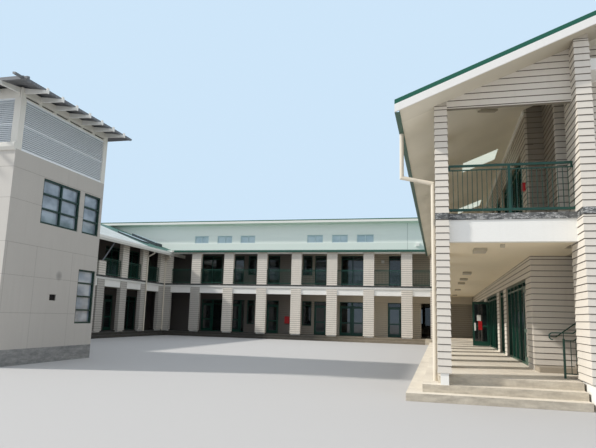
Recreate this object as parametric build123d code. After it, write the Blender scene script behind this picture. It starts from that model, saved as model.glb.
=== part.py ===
from build123d import *
import os

# A two-storey school block round a court, all sizes in millimetres.
# The set-out point (0, 0) lies 12 m in front of the right-hand gable; +Y runs into the court
# and +X to the right. The parts are moved at the end so that the origin is the centre of the
# footprint on the ground.

# Levels
RIGHT_FLOOR = 480
COURT_FLOOR = 340
RISER_RIGHT = RIGHT_FLOOR / 3
RISER_COURT = COURT_FLOOR / 2
SOFFIT = 3400
RIGHT_BEAM_Z = (3380, 3870)
COURT_BEAM_Z = (3300, 3740)
UPPER_FLOOR = 4010
LOWER_HEAD = 2880
UPPER_HEAD = 6450
GABLE_HEAD = 6430
TREAD = 330

# Plan lines
WALL = 200
SEAM = 2
RIGHT_PIER_X = (-26, 237)
RIGHT_WALL_X = 2350
RIGHT_OUTER_X = 8600
GABLE_PIER_X = (2870, 3150)
GABLE_PIER_Y = (11770, 12900)
RIGHT_FRONT_Y = 12165
VERGE_Y = 11450
VERGE_T = 40
VERGE_LIP = 10
RECESS_Y = 15300
DUCT_X = (2810, 3240)
DUCT_Y = 13760
DUCT_T = 120
BACK_EDGE_Y = 39900
BACK_WALL_Y = BACK_EDGE_Y + 2700
REAR_Y = BACK_WALL_Y + 6200
LEFT_EDGE_X = -20950
LEFT_WALL_X = -23560
LEFT_OUTER_X = -29700
LEFT_FRONT_Y = 17890

# Piers; those of the court stand PIER_SET inside the floor edge.
PIER_T = 260
PIER_SET = 235
BACK_PIER_Y = (BACK_EDGE_Y + PIER_SET, BACK_EDGE_Y + PIER_SET + PIER_T)
LEFT_PIER_X = (LEFT_EDGE_X - PIER_SET - PIER_T, LEFT_EDGE_X - PIER_SET)
BLADE = 750
RIGHT_BAY = 2540
RIGHT_PIERS = int((BACK_EDGE_Y - BLADE - RIGHT_FRONT_Y) / RIGHT_BAY) + 1
COURT_BAY = 2710
BACK_PIER_CENTRE = -4950
LEFT_PIER_NEAR = BACK_EDGE_Y - 540
LEFT_PIERS = int((LEFT_PIER_NEAR - LEFT_FRONT_Y) / COURT_BAY) + 1
STUB_PIER = 3
STUB_TOP = 4930
STRUT_R = 40
CORNER_BLADE = 575
BASE_H = 90
BASE_INSET = 45
GABLE_BASE_TOP = 520
BEAM_T = 200
FRONT_BEAM_Y = (RIGHT_FRONT_Y + 135, RIGHT_FRONT_Y + 135 + BEAM_T)
BEAM_SET = 40
INFILL_T = 120
HEAD_BOARD_Z = (6357, 6460)

# Roofs
ROOF_T = 275
RIGHT_EAVE_X = -880
RIGHT_RIDGE_X = 5500
RIGHT_EAVE_TOP = 6430
RIGHT_SLOPE = 0.40
RIGHT_OUTER_EAVE_X = 9100
LEFT_EAVE_X = -20560
LEFT_RIDGE_X = -27600
LEFT_EAVE_TOP = 6430
LEFT_SLOPE = 0.36
LEFT_OUTER_EAVE_X = -30200
LOW_ROOF_TOP = 6600
LOW_ROOF_SLOPE = 0.13
LOW_ROOF_T = 150
HIGH_ROOF_Y = (BACK_WALL_Y - 600, REAR_Y + 500)
HIGH_ROOF_FALL = 0.09
HIGH_ROOF_T = 250
RIDGE_GAP = 14
RIDGE_TOP = RIGHT_EAVE_TOP + RIGHT_SLOPE * (RIGHT_RIDGE_X - RIGHT_EAVE_X)
HIGH_ROOF_TOP = RIDGE_TOP + RIDGE_GAP + HIGH_ROOF_T + HIGH_ROOF_FALL * (BACK_WALL_Y - HIGH_ROOF_Y[0])
GUTTER_W = 110
GUTTER_H = 140
PIPE_R = 50
PIPE_SIDES = 12
PIPE_GAP = 25
PIPE_BEND_Z = (UPPER_FLOOR + 1040, UPPER_FLOOR + 870)
FLASHING_LIP = 20
CANOPY_Y = 12000
CANOPY_Z = (7030, 7290)

# Lights on the left roof are (from, to, height); they run up the slope between two lines.
ROOF_LIGHT_X = (-24400, -22200)
ROOF_LIGHTS = [(BACK_EDGE_Y - 1800, BACK_EDGE_Y - 800, 120), (BACK_EDGE_Y + 300, BACK_EDGE_Y + 1400, 250)]

# Tower
TOWER_X = (-23560, -12315)
TOWER_Y = (13260, 17890)
PLINTH_TOP = 476
TOWER_FLOOR_Z = (3500, 3700)
LOUVRE_Z = (6446, 8072)
LOUVRE_SET = 60
LOUVRE_T = 100
CORNER_W = 230
CORNER_T = 58
PLATE_Z = (8072, 8400)
FLY_SLOPE = 0.15
FLY_T = 50
FLY_OVERHANG_X = 600
FLY_OVERHANG_Y = 700
PURLIN = 60
OUTRIGGER_PITCH = 718
OUTRIGGER_FIRST = 13400
OUTRIGGERS = 7
FRONT_OUTRIGGERS = 15
OUTRIGGER_REACH_X = 815
OUTRIGGER_REACH_Y = 1070
VENT_Y = (15420, 15740)
VENT_Z = (1970, 2170)
VENT_DEEP = 120
SLOT_Z = (8110, 8170)
SLOT_DEEP = 60
SLOT_RIB = 110

# Joinery
FRAME_W = 60
FRAME_D = 70
FRAME_SET = 50
GLASS_T = 12
LEAF_T = 44
LEAF_GAP = 8
LEAF_OUT = 17
DOOR_H = 2150
LIGHT_W = 900

# Lift-off door hinges; the pin line stands in front of the frame, in line with the leaf's edge.
HINGE_OUT = 40
HINGE_AT = (300, 1750)
HINGE_ARM = 8
HINGE_FOOT = 18
KNUCKLE_R = 9
KNUCKLE_H = 45
KNUCKLE_SIDES = 8
HINGE_PLAY = 0.3

# Stair
STAIR_Y = (13250, 15050)
STAIR_X0 = 3250
STAIR_RISERS = 22
STAIR_GOING = 215
STRING_T = 60
STRING_DEEP = 160
LANDING_T = 180
NEWEL_X = 2670
NEWEL_W = 45
NEWEL_H = 855
HANDRAIL_H = 980
LOWER_RAIL_H = 815
WALL_RAIL_H = 851
WALL_RAIL_OUT = 80
RAIL_LEAD = 380
RAIL_SECTION = (32, 24)
CURL_R = 75
RAIL_POSTS = 5
RAIL_BAR_FIRST = 140
RAIL_BAR_PITCH = 105
RAIL_BAR_COUNT = 4
PLATFORM_Y = 14570
PLATFORM_H = 125

# Balustrades, measured from the upper floor
TOP_RAIL_Z = (1085, 1135)
SECOND_RAIL_Z = (1000, 1025)
FOOT_RAIL_Z = (70, 125)
RAIL_W = 50
BAR_W = 14
BAR_PITCH = 105

# Openings in each wall are (from, to, sill); the sill is measured from the floor.
RIGHT_LOWER = [(16250, 21100, 0), (21900, 23600, 0), (24500, 29900, 0), (31500, 36900, 0)]
RIGHT_UPPER = [(16250, 21100, 0), (21900, 23600, 0), (24500, 29900, 0), (31500, 36900, 0)]
BACK_LOWER = [
    (-18950, -17100, 0), (-16550, -15250, 0), (-15010, -14400, 660),
    (-13350, -12370, 0), (-10450, -9700, 660), (-9490, -8510, 0),
    (-7480, -5560, 0), (-3800, -2800, 0),
]
PASSAGE = (-1340, -460, 0)
BACK_UPPER = [
    (-19070, -17340, 0), (-16250, -15400, 0), (-15050, -14380, 900),
    (-13350, -12370, 0), (-10450, -9700, 900), (-9490, -8560, 0),
    (-7400, -5600, 0), (-3714, -2810, 0),
]
LEFT_LOWER = [
    (21600, 23400, 0), (24300, 26100, 660), (27000, 28800, 0), (29750, 31550, 660),
    (32700, 34500, 660), (35800, 36850, 0), (38250, 40150, 0),
]
LEFT_UPPER = [
    (21600, 23400, 900), (24300, 26100, 0), (27000, 28800, 900), (29750, 31550, 900),
    (32400, 33900, 900), (35400, 37300, 0), (38250, 40150, 0),
]
# Those of the tower are (from, to), (sill, head).
TOWER_WINDOWS = [
    ((14630, 16550), (4400, 5870)),
    ((16790, 17770), (4400, 5860)),
    ((16830, 17820), (1220, 3110)),
]
CLERESTORY = [
    (-19890, -18650), (-17860, -16560), (-15830, -14560), (-10190, -8900), (-8170, -6910), (-6200, -4880),
]
CLERESTORY_Z = (HIGH_ROOF_TOP - 1790, HIGH_ROOF_TOP - 1170)
OUTER_WINDOWS_Z = ((1300, 2600), (4900, 6100))
OUTER_WINDOW_W = 1800
RIGHT_OUTER_RUN = (16000, REAR_Y - 800)
LEFT_OUTER_RUN = (18600, REAR_Y - 800)
REAR_RUN = (LEFT_OUTER_X + 700, RIGHT_OUTER_X - 600)
RIGHT_OUTER_COUNT = 8
LEFT_OUTER_COUNT = 7
REAR_COUNT = 9

TRANSOM = DOOR_H + LEAF_GAP * 2 + FRAME_W / 2

# Doors are wall, from, to; a leaf hangs at its first edge, apart from those in HUNG_AT_END.
DOORS = {
    "right_door_near": ("right", 16250, 17232),
    "right_door_open": ("right", 28988, 29900),
    "back_door_a": ("back", -18950, -18010),
    "back_door_b": ("back", -16550, -15590),
    "back_door_c": ("back", -13350, -12370),
    "back_door_d": ("back", -9490, -8510),
    "back_door_e": ("back", -7480, -6520),
    "back_door_f": ("back", -6520, -5560),
    "back_door_g": ("back", -3800, -2800),
    "left_door": ("left", 35800, 36850),
}
HUNG_AT_END = ["back_door_f"]


def block(x0, x1, y0, y1, z0, z1):
    """A plain block between two corners."""
    return Pos((x0 + x1) / 2, (y0 + y1) / 2, (z0 + z1) / 2) * Box(x1 - x0, y1 - y0, z1 - z0)


def prism(points, run):
    """A flat outline pushed along a straight run."""
    outline = Polyline(*points, close=True)
    return extrude(make_face(outline), amount=Vector(*run).length, dir=Vector(*run))


def prism_y(xz, y0, y1):
    return prism([(x, y0, z) for x, z in xz], (0, y1 - y0, 0))


def prism_x(yz, x0, x1):
    return prism([(x0, y, z) for y, z in yz], (x1 - x0, 0, 0))


def prism_z(xy, z0, z1):
    return prism([(x, y, z0) for x, y in xy], (0, 0, z1 - z0))


def fuse(pieces):
    """Joins touching pieces into one solid."""
    whole = pieces[0]
    for piece in pieces[1:]:
        whole = whole + piece
    return whole


def right_top(x):
    return RIGHT_EAVE_TOP + RIGHT_SLOPE * (x - RIGHT_EAVE_X)


def right_soffit(x):
    if x > RIGHT_RIDGE_X:
        return right_top(RIGHT_RIDGE_X) - RIGHT_SLOPE * (x - RIGHT_RIDGE_X) - ROOF_T
    return right_top(x) - ROOF_T


def left_top(x):
    return LEFT_EAVE_TOP + LEFT_SLOPE * (LEFT_EAVE_X - x)


def left_soffit(x):
    if x < LEFT_RIDGE_X:
        return left_top(LEFT_RIDGE_X) - LEFT_SLOPE * (LEFT_RIDGE_X - x) - ROOF_T
    return left_top(x) - ROOF_T


def low_top(y):
    return LOW_ROOF_TOP + LOW_ROOF_SLOPE * (y - BACK_EDGE_Y)


def high_top(y):
    return HIGH_ROOF_TOP - HIGH_ROOF_FALL * (y - HIGH_ROOF_Y[0])


# Floors and steps
def gable_base():
    """The bare post foot under the first blade pier, standing on the bottom tread."""
    x0, x1 = RIGHT_PIER_X
    return block(
        x0 + BASE_INSET, x1 - BASE_INSET, RIGHT_FRONT_Y + 5, RIGHT_FRONT_Y + BLADE - BASE_INSET,
        RISER_RIGHT, RIGHT_FLOOR + BASE_H,
    )


def right_floor():
    edge_y = RIGHT_FRONT_Y + TREAD
    slab = prism_z(
        [
            (RIGHT_PIER_X[0], edge_y), (GABLE_PIER_X[0], edge_y), (GABLE_PIER_X[0], GABLE_PIER_Y[1]),
            (RIGHT_OUTER_X, GABLE_PIER_Y[1]), (RIGHT_OUTER_X, BACK_WALL_Y), (RIGHT_PIER_X[0], BACK_WALL_Y),
        ],
        0, RIGHT_FLOOR,
    )
    return slab - gable_base()


def front_steps():
    """Two treads that wrap the gable front and run on along the court side."""
    x_edge = RIGHT_PIER_X[0]
    x_mid = x_edge - TREAD
    x_low = x_mid - TREAD
    y_edge = RIGHT_FRONT_Y + TREAD
    y_mid = RIGHT_FRONT_Y
    y_low = y_mid - TREAD
    right = GABLE_PIER_X[0]
    far = BACK_EDGE_Y - TREAD
    low = prism_z(
        [(x_low, y_low), (right, y_low), (right, y_edge), (x_edge, y_edge), (x_edge, far), (x_low, far)],
        0, RISER_RIGHT,
    )
    middle = prism_z(
        [(x_mid, y_mid), (right, y_mid), (right, y_edge), (x_edge, y_edge), (x_edge, far), (x_mid, far)],
        RISER_RIGHT, 2 * RISER_RIGHT,
    )
    return (low + middle) - gable_base()


def court_floor():
    return prism_z(
        [
            (LEFT_OUTER_X, LEFT_FRONT_Y), (LEFT_EDGE_X, LEFT_FRONT_Y), (LEFT_EDGE_X, BACK_EDGE_Y),
            (RIGHT_PIER_X[0], BACK_EDGE_Y), (RIGHT_PIER_X[0], BACK_WALL_Y), (RIGHT_OUTER_X, BACK_WALL_Y),
            (RIGHT_OUTER_X, REAR_Y), (LEFT_OUTER_X, REAR_Y),
        ],
        0, COURT_FLOOR,
    )


def court_steps():
    x_low = LEFT_EDGE_X + TREAD
    y_low = BACK_EDGE_Y - TREAD
    return prism_z(
        [
            (LEFT_EDGE_X, LEFT_FRONT_Y), (x_low, LEFT_FRONT_Y), (x_low, y_low),
            (RIGHT_PIER_X[0], y_low), (RIGHT_PIER_X[0], BACK_EDGE_Y), (LEFT_EDGE_X, BACK_EDGE_Y),
        ],
        0, RISER_COURT,
    )


def right_upper_floor():
    """Balcony and room floor; it stops short of the stair hall behind the gable."""
    x0, x1 = RIGHT_PIER_X[1], GABLE_PIER_X[0]
    return prism_z(
        [
            (x0, FRONT_BEAM_Y[1]), (x1, FRONT_BEAM_Y[1]), (x1, DUCT_Y), (DUCT_X[1], DUCT_Y),
            (DUCT_X[1], RECESS_Y), (RIGHT_OUTER_X - WALL, RECESS_Y),
            (RIGHT_OUTER_X - WALL, BACK_WALL_Y), (x0, BACK_WALL_Y),
        ],
        SOFFIT, UPPER_FLOOR,
    )


def court_upper_floor():
    return prism_z(
        [
            (LEFT_OUTER_X + WALL, LEFT_FRONT_Y + WALL), (LEFT_PIER_X[0], LEFT_FRONT_Y + WALL),
            (LEFT_PIER_X[0], BACK_PIER_Y[1]), (RIGHT_PIER_X[1], BACK_PIER_Y[1]),
            (RIGHT_PIER_X[1], BACK_WALL_Y), (RIGHT_OUTER_X - WALL, BACK_WALL_Y),
            (RIGHT_OUTER_X - WALL, REAR_Y - WALL), (LEFT_OUTER_X + WALL, REAR_Y - WALL),
        ],
        SOFFIT, UPPER_FLOOR,
    )


# Piers, beams, flashing
def right_pier_spans():
    return [(RIGHT_FRONT_Y + RIGHT_BAY * k, RIGHT_FRONT_Y + RIGHT_BAY * k + BLADE) for k in range(RIGHT_PIERS)]


def back_pier_spans():
    centres = [BACK_PIER_CENTRE + COURT_BAY * k for k in range(-5, 2)]
    return [(c - BLADE / 2, c + BLADE / 2) for c in centres] + corner_spans()


def corner_spans():
    """The two corner piers, under the wing eaves."""
    right = RIGHT_PIER_X[0] - SEAM
    return [(LEFT_PIER_X[1], LEFT_PIER_X[1] + CORNER_BLADE), (right - CORNER_BLADE, right)]


def left_pier_spans():
    return [(LEFT_PIER_NEAR - COURT_BAY * k, LEFT_PIER_NEAR - COURT_BAY * k + BLADE) for k in range(LEFT_PIERS)]


def foot_of(x_span, y_span, z0, z1):
    """A plinth block, set in from the pier that it carries."""
    i = BASE_INSET
    return block(x_span[0] + i, x_span[1] - i, y_span[0] + i, y_span[1] - i, z0, z1)


def pier_bases():
    out = [gable_base(), foot_of(GABLE_PIER_X, GABLE_PIER_Y, 0, GABLE_BASE_TOP)]
    out += [foot_of(RIGHT_PIER_X, y, RIGHT_FLOOR, RIGHT_FLOOR + BASE_H) for y in right_pier_spans()[1:]]
    out += [foot_of(x, BACK_PIER_Y, COURT_FLOOR, COURT_FLOOR + BASE_H) for x in back_pier_spans()]
    out += [foot_of(LEFT_PIER_X, y, COURT_FLOOR, COURT_FLOOR + BASE_H) for y in left_pier_spans()]
    return out


def piers_lower():
    top_right = RIGHT_BEAM_Z[1]
    top_court = COURT_BEAM_Z[1]
    out = [block(*GABLE_PIER_X, *GABLE_PIER_Y, GABLE_BASE_TOP, top_right)]
    for y0, y1 in right_pier_spans():
        out.append(block(*RIGHT_PIER_X, y0, y1, RIGHT_FLOOR + BASE_H, top_right))
    for x0, x1 in back_pier_spans():
        out.append(block(x0, x1, *BACK_PIER_Y, COURT_FLOOR + BASE_H, top_court))
    for y0, y1 in left_pier_spans():
        out.append(block(*LEFT_PIER_X, y0, y1, COURT_FLOOR + BASE_H, top_court))
    return out


def upper_pier(x_span, y_span, soffit):
    """A blade from the upper floor to a soffit that falls along X."""
    a, b = x_span
    z0 = UPPER_FLOOR
    return prism_y([(a, z0), (b, z0), (b, soffit(b)), (a, soffit(a))], *y_span)


def lean_to_pier(x_span):
    """A blade of the back range, under the lean-to roof."""
    a, b = BACK_PIER_Y
    z0 = UPPER_FLOOR
    outline = [(a, z0), (b, z0), (b, low_top(b) - LOW_ROOF_T), (a, low_top(a) - LOW_ROOF_T)]
    return prism_x(outline, *x_span)


def piers_upper():
    left_corner, right_corner = corner_spans()
    out = [upper_pier(GABLE_PIER_X, GABLE_PIER_Y, right_soffit)]
    out += [upper_pier(RIGHT_PIER_X, span, right_soffit) for span in right_pier_spans()]
    out.append(upper_pier(left_corner, BACK_PIER_Y, left_soffit))
    out.append(upper_pier(right_corner, BACK_PIER_Y, right_soffit))
    out += [lean_to_pier(span) for span in back_pier_spans()[:-2]]
    for k, span in enumerate(left_pier_spans()):
        if k == STUB_PIER:
            out.append(block(*LEFT_PIER_X, *span, UPPER_FLOOR, STUB_TOP))
        else:
            out.append(upper_pier(LEFT_PIER_X, span, left_soffit))
    return out


def gaps_between(spans, low, high):
    """The clear stretches left between spans on one line."""
    out = []
    at = low
    for a, b in sorted(spans):
        if a > at:
            out.append((at, a))
        at = max(at, b)
    if high > at:
        out.append((at, high))
    return [(a, b) for a, b in out if b - a > 60]


def right_bays():
    return gaps_between(right_pier_spans(), RIGHT_FRONT_Y, BACK_PIER_Y[0] - 20)


def back_bays():
    return gaps_between(back_pier_spans(), LEFT_PIER_X[1], RIGHT_PIER_X[0])


def left_bays():
    return gaps_between(left_pier_spans(), LEFT_FRONT_Y, BACK_PIER_Y[0])


def edge_beams():
    """White edge beams that fill the bays between piers."""
    x0, x1 = RIGHT_PIER_X
    out = [block(x1, GABLE_PIER_X[0], *FRONT_BEAM_Y, *RIGHT_BEAM_Z)]
    for y0, y1 in right_bays():
        out.append(block(x0 + BEAM_SET, x1, y0, y1, *RIGHT_BEAM_Z))
    for a, b in back_bays():
        out.append(block(a, b, BACK_PIER_Y[0] + BEAM_SET, BACK_PIER_Y[1], *COURT_BEAM_Z))
    for y0, y1 in left_bays():
        out.append(block(LEFT_PIER_X[0], LEFT_PIER_X[1] - BEAM_SET, y0, y1, *COURT_BEAM_Z))
    return out


def right_flashing():
    """Lead-dressed floor edge of the gable and the right wing."""
    x0, x1 = RIGHT_PIER_X
    lip = FLASHING_LIP
    y0, y1 = FRONT_BEAM_Y
    z0, z1 = RIGHT_BEAM_Z[1], UPPER_FLOOR
    return fuse([
        block(x0 - lip, x1, RIGHT_FRONT_Y - lip, BACK_PIER_Y[0] - lip, z0, z1),
        block(x1, GABLE_PIER_X[0], y0 - lip, y1, z0, z1),
        block(GABLE_PIER_X[0], GABLE_PIER_X[1] + lip, GABLE_PIER_Y[0] - lip, GABLE_PIER_Y[1] - WALL, z0, z1),
    ])


def court_flashing():
    lip = FLASHING_LIP
    z0, z1 = COURT_BEAM_Z[1], UPPER_FLOOR
    return fuse([
        block(LEFT_PIER_X[0], RIGHT_PIER_X[1], BACK_PIER_Y[0] - lip, BACK_PIER_Y[1], z0, z1),
        block(LEFT_PIER_X[0], LEFT_PIER_X[1] + lip, LEFT_FRONT_Y, BACK_PIER_Y[0] - lip, z0, z1),
    ])


def eaves_lintels():
    """Head boards over the upper bays of the back range, between the wing eaves."""
    low, high = LEFT_EAVE_X + 10, RIGHT_EAVE_X - 10
    y0, y1 = BACK_PIER_Y[0] + BEAM_SET, BACK_PIER_Y[1] - BEAM_SET
    return [block(max(a, low), min(b, high), y0, y1, *HEAD_BOARD_Z) for a, b in back_bays()]


# Walls
def spans_of(openings):
    return [(o[0], o[1]) for o in openings]


def right_wall_lower():
    x0, x1 = RIGHT_WALL_X, RIGHT_WALL_X + WALL
    return [block(x0, x1, a, b, RIGHT_FLOOR, LOWER_HEAD)
            for a, b in gaps_between(spans_of(RIGHT_LOWER), RECESS_Y, BACK_WALL_Y - SEAM)]


def right_wall_upper():
    x0, x1 = RIGHT_WALL_X, RIGHT_WALL_X + WALL
    return [block(x0, x1, a, b, UPPER_FLOOR, UPPER_HEAD)
            for a, b in gaps_between(spans_of(RIGHT_UPPER), RECESS_Y, BACK_WALL_Y - SEAM)]


def right_wall_heads():
    x0, x1 = RIGHT_WALL_X, RIGHT_WALL_X + WALL
    return [
        block(x0, x1, RECESS_Y, BACK_WALL_Y, LOWER_HEAD, SOFFIT),
        prism_y(
            [(x0, UPPER_HEAD), (x1, UPPER_HEAD), (x1, right_soffit(x1)), (x0, right_soffit(x0))],
            RECESS_Y, BACK_WALL_Y,
        ),
    ]


def back_wall_lower():
    y0, y1 = BACK_WALL_Y, BACK_WALL_Y + WALL
    return [block(a, b, y0, y1, COURT_FLOOR, LOWER_HEAD)
            for a, b in gaps_between(spans_of(BACK_LOWER + [PASSAGE]), LEFT_WALL_X - WALL, RIGHT_WALL_X + WALL)]


def back_wall_upper():
    y0, y1 = BACK_WALL_Y, BACK_WALL_Y + WALL
    return [block(a, b, y0, y1, UPPER_FLOOR, UPPER_HEAD)
            for a, b in gaps_between(spans_of(BACK_UPPER), LEFT_WALL_X - WALL, RIGHT_WALL_X + WALL)]


def clerestory_bands():
    """Wall strips over the lower openings, over the upper openings and over the high windows."""
    y0, y1 = BACK_WALL_Y, BACK_WALL_Y + WALL
    top = [high_top(y0) - HIGH_ROOF_T, high_top(y1) - HIGH_ROOF_T]
    x0, x1 = LEFT_OUTER_X + WALL, RIGHT_OUTER_X - WALL
    return [
        block(LEFT_WALL_X - WALL, RIGHT_WALL_X + WALL, y0, y1, LOWER_HEAD, SOFFIT),
        block(x0, x1, y0, y1, UPPER_HEAD, CLERESTORY_Z[0]),
        prism_x([(y0, CLERESTORY_Z[1]), (y1, CLERESTORY_Z[1]), (y1, top[1]), (y0, top[0])], x0, x1),
    ]


def clerestory_panels():
    y0, y1 = BACK_WALL_Y, BACK_WALL_Y + WALL
    return [block(a, b, y0, y1, *CLERESTORY_Z)
            for a, b in gaps_between(CLERESTORY, LEFT_OUTER_X + WALL, RIGHT_OUTER_X - WALL)]


def left_wall_lower():
    x0, x1 = LEFT_WALL_X - WALL, LEFT_WALL_X
    return [block(x0, x1, a, b, COURT_FLOOR, LOWER_HEAD)
            for a, b in gaps_between(spans_of(LEFT_LOWER), LEFT_FRONT_Y + WALL, BACK_WALL_Y - SEAM)]


def left_wall_upper():
    x0, x1 = LEFT_WALL_X - WALL, LEFT_WALL_X
    return [block(x0, x1, a, b, UPPER_FLOOR, UPPER_HEAD)
            for a, b in gaps_between(spans_of(LEFT_UPPER), LEFT_FRONT_Y + WALL, BACK_WALL_Y - SEAM)]


def left_wall_heads():
    x0, x1 = LEFT_WALL_X - WALL, LEFT_WALL_X
    y0 = LEFT_FRONT_Y + WALL
    return [
        block(x0, x1, y0, BACK_WALL_Y, LOWER_HEAD, SOFFIT),
        prism_y(
            [(x0, UPPER_HEAD), (x1, UPPER_HEAD), (x1, left_soffit(x1)), (x0, left_soffit(x0))], y0, BACK_WALL_Y,
        ),
    ]


def sills():
    """Wall pieces under the windows."""
    out = []
    for a, b, sill in BACK_LOWER:
        if sill:
            out.append(block(a, b, BACK_WALL_Y, BACK_WALL_Y + WALL, COURT_FLOOR, COURT_FLOOR + sill))
    for a, b, sill in BACK_UPPER:
        if sill:
            out.append(block(a, b, BACK_WALL_Y, BACK_WALL_Y + WALL, UPPER_FLOOR, UPPER_FLOOR + sill))
    for a, b, sill in LEFT_LOWER:
        if sill:
            out.append(block(LEFT_WALL_X - WALL, LEFT_WALL_X, a, b, COURT_FLOOR, COURT_FLOOR + sill))
    for a, b, sill in LEFT_UPPER:
        if sill:
            out.append(block(LEFT_WALL_X - WALL, LEFT_WALL_X, a, b, UPPER_FLOOR, UPPER_FLOOR + sill))
    return out


def gable_infill():
    """Boarded head of the open gable bay."""
    x0, x1 = RIGHT_PIER_X[1], GABLE_PIER_X[0]
    y0 = FRONT_BEAM_Y[0] - 100
    profile = [(x0, GABLE_HEAD), (x1, GABLE_HEAD), (x1, right_soffit(x1)), (x0, right_soffit(x0))]
    return [prism_y(profile, y0, y0 + INFILL_T)]


def right_end_wall():
    """Gable wall to the right of the open bay."""
    x0, xr, x1 = GABLE_PIER_X[1], RIGHT_RIDGE_X, RIGHT_OUTER_X - WALL
    profile = [
        (x0, RIGHT_FLOOR), (x1, RIGHT_FLOOR), (x1, right_soffit(x1)),
        (xr, right_soffit(xr)), (x0, right_soffit(x0)),
    ]
    return [prism_y(profile, GABLE_PIER_Y[1] - WALL, GABLE_PIER_Y[1])]


def left_end_wall():
    x0, xr, x1 = LEFT_OUTER_X + WALL, LEFT_RIDGE_X, LEFT_WALL_X
    profile = [
        (x0, COURT_FLOOR), (x1, COURT_FLOOR), (x1, left_soffit(x1)),
        (xr, left_soffit(xr)), (x0, left_soffit(x0)),
    ]
    return [prism_y(profile, LEFT_FRONT_Y, LEFT_FRONT_Y + WALL)]


def under_right_roof(x0, x1, y0, y1):
    """A wall block from the upper floor to the right wing's raking soffit."""
    z = UPPER_FLOOR
    return prism_y([(x0, z), (x1, z), (x1, right_soffit(x1)), (x0, right_soffit(x0))], y0, y1)


def duct_walls():
    """Closet in the corner of the balcony, between the cross wall and the stair hall."""
    x0, x1 = DUCT_X
    y0, y1 = DUCT_Y, RECESS_Y
    return under_right_roof(x0, x1, y0, y1) - under_right_roof(x0 + DUCT_T, x1 - DUCT_T, y0 + DUCT_T, y1 + 1)


def recess_walls():
    """Cross walls that close the rooms behind the stair hall; the upper one has the landing's doorway."""
    y0, y1 = RECESS_Y, RECESS_Y + WALL
    x0, x1 = RIGHT_WALL_X + WALL, RIGHT_OUTER_X - WALL
    ridge = RIGHT_RIDGE_X
    doorway = block(stair_end(), x1 - 50, y0 - 1, y1 + 1, UPPER_FLOOR - 1, UPPER_FLOOR + DOOR_H)
    upper = under_right_roof(x0, ridge, y0, y1) + under_right_roof(ridge, x1, y0, y1)
    return [block(x0, x1, y0, y1, RIGHT_FLOOR, SOFFIT), (upper - doorway) + duct_walls()]


def evenly(a, b, count):
    """Window spans set evenly along a wall."""
    pitch = (b - a) / count
    half = OUTER_WINDOW_W / 2
    return [(a + pitch * (k + 0.5) - half, a + pitch * (k + 0.5) + half) for k in range(count)]


def right_outer_windows():
    return evenly(*RIGHT_OUTER_RUN, RIGHT_OUTER_COUNT)


def left_outer_windows():
    return evenly(*LEFT_OUTER_RUN, LEFT_OUTER_COUNT)


def rear_windows():
    return evenly(*REAR_RUN, REAR_COUNT)


def side_wall_bands():
    """Long strips of the two outer side walls, below, between and above the windows."""
    (low, low_head), (mid, mid_head) = OUTER_WINDOWS_Z
    roof = [high_top(BACK_WALL_Y) - HIGH_ROOF_T, high_top(REAR_Y) - HIGH_ROOF_T]
    back = [(BACK_WALL_Y, mid_head), (REAR_Y, mid_head), (REAR_Y, roof[1]), (BACK_WALL_Y, roof[0])]
    out = []
    for x0, front, floor, eave in (
        (RIGHT_OUTER_X - WALL, GABLE_PIER_Y[1] - WALL, RIGHT_FLOOR, right_soffit),
        (LEFT_OUTER_X, LEFT_FRONT_Y, COURT_FLOOR, left_soffit),
    ):
        x1 = x0 + WALL
        wing = [(x0, mid_head), (x1, mid_head), (x1, eave(x1)), (x0, eave(x0))]
        if floor == RIGHT_FLOOR:
            out.append(block(x0, x1, front, BACK_WALL_Y - SEAM, RIGHT_FLOOR, low))
            out.append(block(x0, x1, BACK_WALL_Y, REAR_Y, COURT_FLOOR, low))
        else:
            out.append(block(x0, x1, front, REAR_Y, COURT_FLOOR, low))
        out.append(block(x0, x1, front, REAR_Y, low_head, mid))
        out.append(prism_y(wing, front, BACK_WALL_Y - SEAM))
        out.append(prism_x(back, x0, x1))
    return out


def side_wall_panels():
    out = []
    for z0, z1 in OUTER_WINDOWS_Z:
        for a, b in gaps_between(right_outer_windows(), GABLE_PIER_Y[1] - WALL, REAR_Y):
            out.append(block(RIGHT_OUTER_X - WALL, RIGHT_OUTER_X, a, b, z0, z1))
        for a, b in gaps_between(left_outer_windows(), LEFT_FRONT_Y, REAR_Y):
            out.append(block(LEFT_OUTER_X, LEFT_OUTER_X + WALL, a, b, z0, z1))
    return out


def rear_wall_bands():
    (low, low_head), (mid, mid_head) = OUTER_WINDOWS_Z
    x0, x1 = LEFT_OUTER_X + WALL + SEAM, RIGHT_OUTER_X - WALL - SEAM
    y0, y1 = REAR_Y - WALL, REAR_Y
    roof = [high_top(y0) - HIGH_ROOF_T, high_top(y1) - HIGH_ROOF_T]
    return [
        block(x0, x1, y0, y1, COURT_FLOOR, low),
        block(x0, x1, y0, y1, low_head, mid),
        prism_x([(y0, mid_head), (y1, mid_head), (y1, roof[1]), (y0, roof[0])], x0, x1),
    ]


def rear_wall_panels():
    x0, x1 = LEFT_OUTER_X + WALL + SEAM, RIGHT_OUTER_X - WALL - SEAM
    out = []
    for z0, z1 in OUTER_WINDOWS_Z:
        for a, b in gaps_between(rear_windows(), x0, x1):
            out.append(block(a, b, REAR_Y - WALL, REAR_Y, z0, z1))
    return out


# Joinery
def window_frame(width, height, columns, member=FRAME_W, depth=FRAME_D):
    """A frame with mullions: X along, Z up, Y through; its origin is the lower left front corner."""
    frame = block(0, width, 0, depth, 0, height)
    inner = (width - member * (columns + 1)) / columns
    for c in range(columns):
        x0 = member + c * (inner + member)
        frame = frame - block(x0, x0 + inner, -1, depth + 1, member, height - member)
    return frame


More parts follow.
